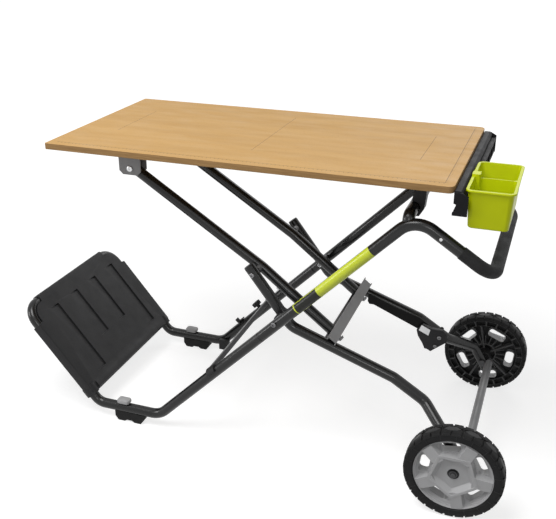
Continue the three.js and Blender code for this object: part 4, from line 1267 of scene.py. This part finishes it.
FLOOR_SIZE = 14
FLOOR_DROP = 0.0005
FLOOR_SHADES = ((0.3, (0.41, 0.41, 0.41)), (0.7, (0.43, 0.43, 0.43)))
# Glow of the floor: low round the bench, where its shadow falls, and white far behind it
GLOW = {"low": 0.72, "high": 0.92, "start": 1.0, "end": 3.2}


def stage():
    """Pale floor that keeps the bench's shadow and otherwise fades into the white behind it."""
    made = bpy.data.materials.new("pale_floor")
    graph = Graph(made)
    mottled = graph.ramp(graph.noise(0.6), *FLOOR_SHADES)
    graph.finish(Specular_IOR_Level=0.1, Roughness=0.8, Base_Color=mottled)
    distance = graph.calc("LENGTH", graph.place(), kind="VectorMath")
    glow = graph.add("Emission", Strength=graph.spread(distance, **GLOW))
    plain = graph.shader.outputs["BSDF"]
    lifted = graph.add("AddShader")
    graph.feed(lifted.inputs[0], plain)
    graph.feed(lifted.inputs[1], glow.outputs["Emission"])
    shown = graph.mix_shader(camera_rays(graph), plain, lifted.outputs["Shader"])
    graph.feed(graph.nodes["Material Output"].inputs["Surface"], shown)
    shape = bmesh.new()
    bmesh.ops.create_grid(shape, x_segments=8, y_segments=8, size=FLOOR_SIZE)
    mesh = mesh_of("floor", shape)
    mesh.materials.append(made)
    floor = linked("floor", mesh)
    floor.location.z = -FLOOR_DROP


# Lamps: place, size of the square, watts
LAMP_TARGET = Vector((0.0, 0.0, 0.45))
LAMPS = {
    "top": ((-0.55, -1.3, 3.2), 1.6, 73),
    "front": ((1.05, -3.05, 1.8), 0.55, 13),
    "left": ((-3.1, -1.7, 1.25), 0.9, 28),
    "right": ((3.0, -1.4, 1.7), 0.5, 5),
    "back": ((0.4, 3.0, 2.6), 1.4, 18),
}
WORLD_LIGHT = 0.18
WORLD_WHITE = 1.0
WHITE = (1, 1, 1, 1)


def lights():
    """Area lamps, and a world that lights little and is seen as white."""
    for name, (place, size, energy) in LAMPS.items():
        light = bpy.data.lights.new(name, "AREA")
        light.shape = "SQUARE"
        light.size = size
        light.energy = energy
        holder = linked(name, light)
        holder.location = place
        holder.rotation_euler = (LAMP_TARGET - Vector(place)).to_track_quat("-Z", "Y").to_euler()
    world = bpy.data.worlds.new("studio")
    bpy.context.scene.world = world
    graph = Graph(world)
    lit = graph.nodes["Background"]
    lit.inputs["Color"].default_value = WHITE
    lit.inputs["Strength"].default_value = WORLD_LIGHT
    white = graph.add("Background", Color=WHITE, Strength=WORLD_WHITE)
    shown = graph.mix_shader(camera_rays(graph), lit.outputs["Background"], white.outputs["Background"])
    graph.feed(graph.nodes["World Output"].inputs["Surface"], shown)


def camera():
    data = bpy.data.cameras.new("photo_view")
    data.sensor_fit = "HORIZONTAL"
    data.sensor_width = SENSOR
    data.lens = CAMERA_FOCAL * SENSOR / PHOTO_WIDTH
    holder = linked("photo_view", data)
    holder.location = CAMERA_AT
    holder.rotation_euler = (math.pi / 2 - CAMERA_PITCH, 0, CAMERA_YAW)
    bpy.context.scene.camera = holder


camera()
stage()
lights()
bpy.context.scene.view_settings.view_transform = "Standard"

loop_route = main_frame()
grip()
cross_tube()
colour_band()
toe_plate(loop_route)
refined_nodes()
bar_saddles()
latch_details()
bolts()
foot_caps()
rivets()
wheel_legs()
struts()
wheels()
worktop()
rail_ends()
rail_flange()
parts_bin()
for node_name in pair("frame_splice"):
    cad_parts[node_name].data.materials.clear()
    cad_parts[node_name].data.materials.append(FINISH["bright_steel"])
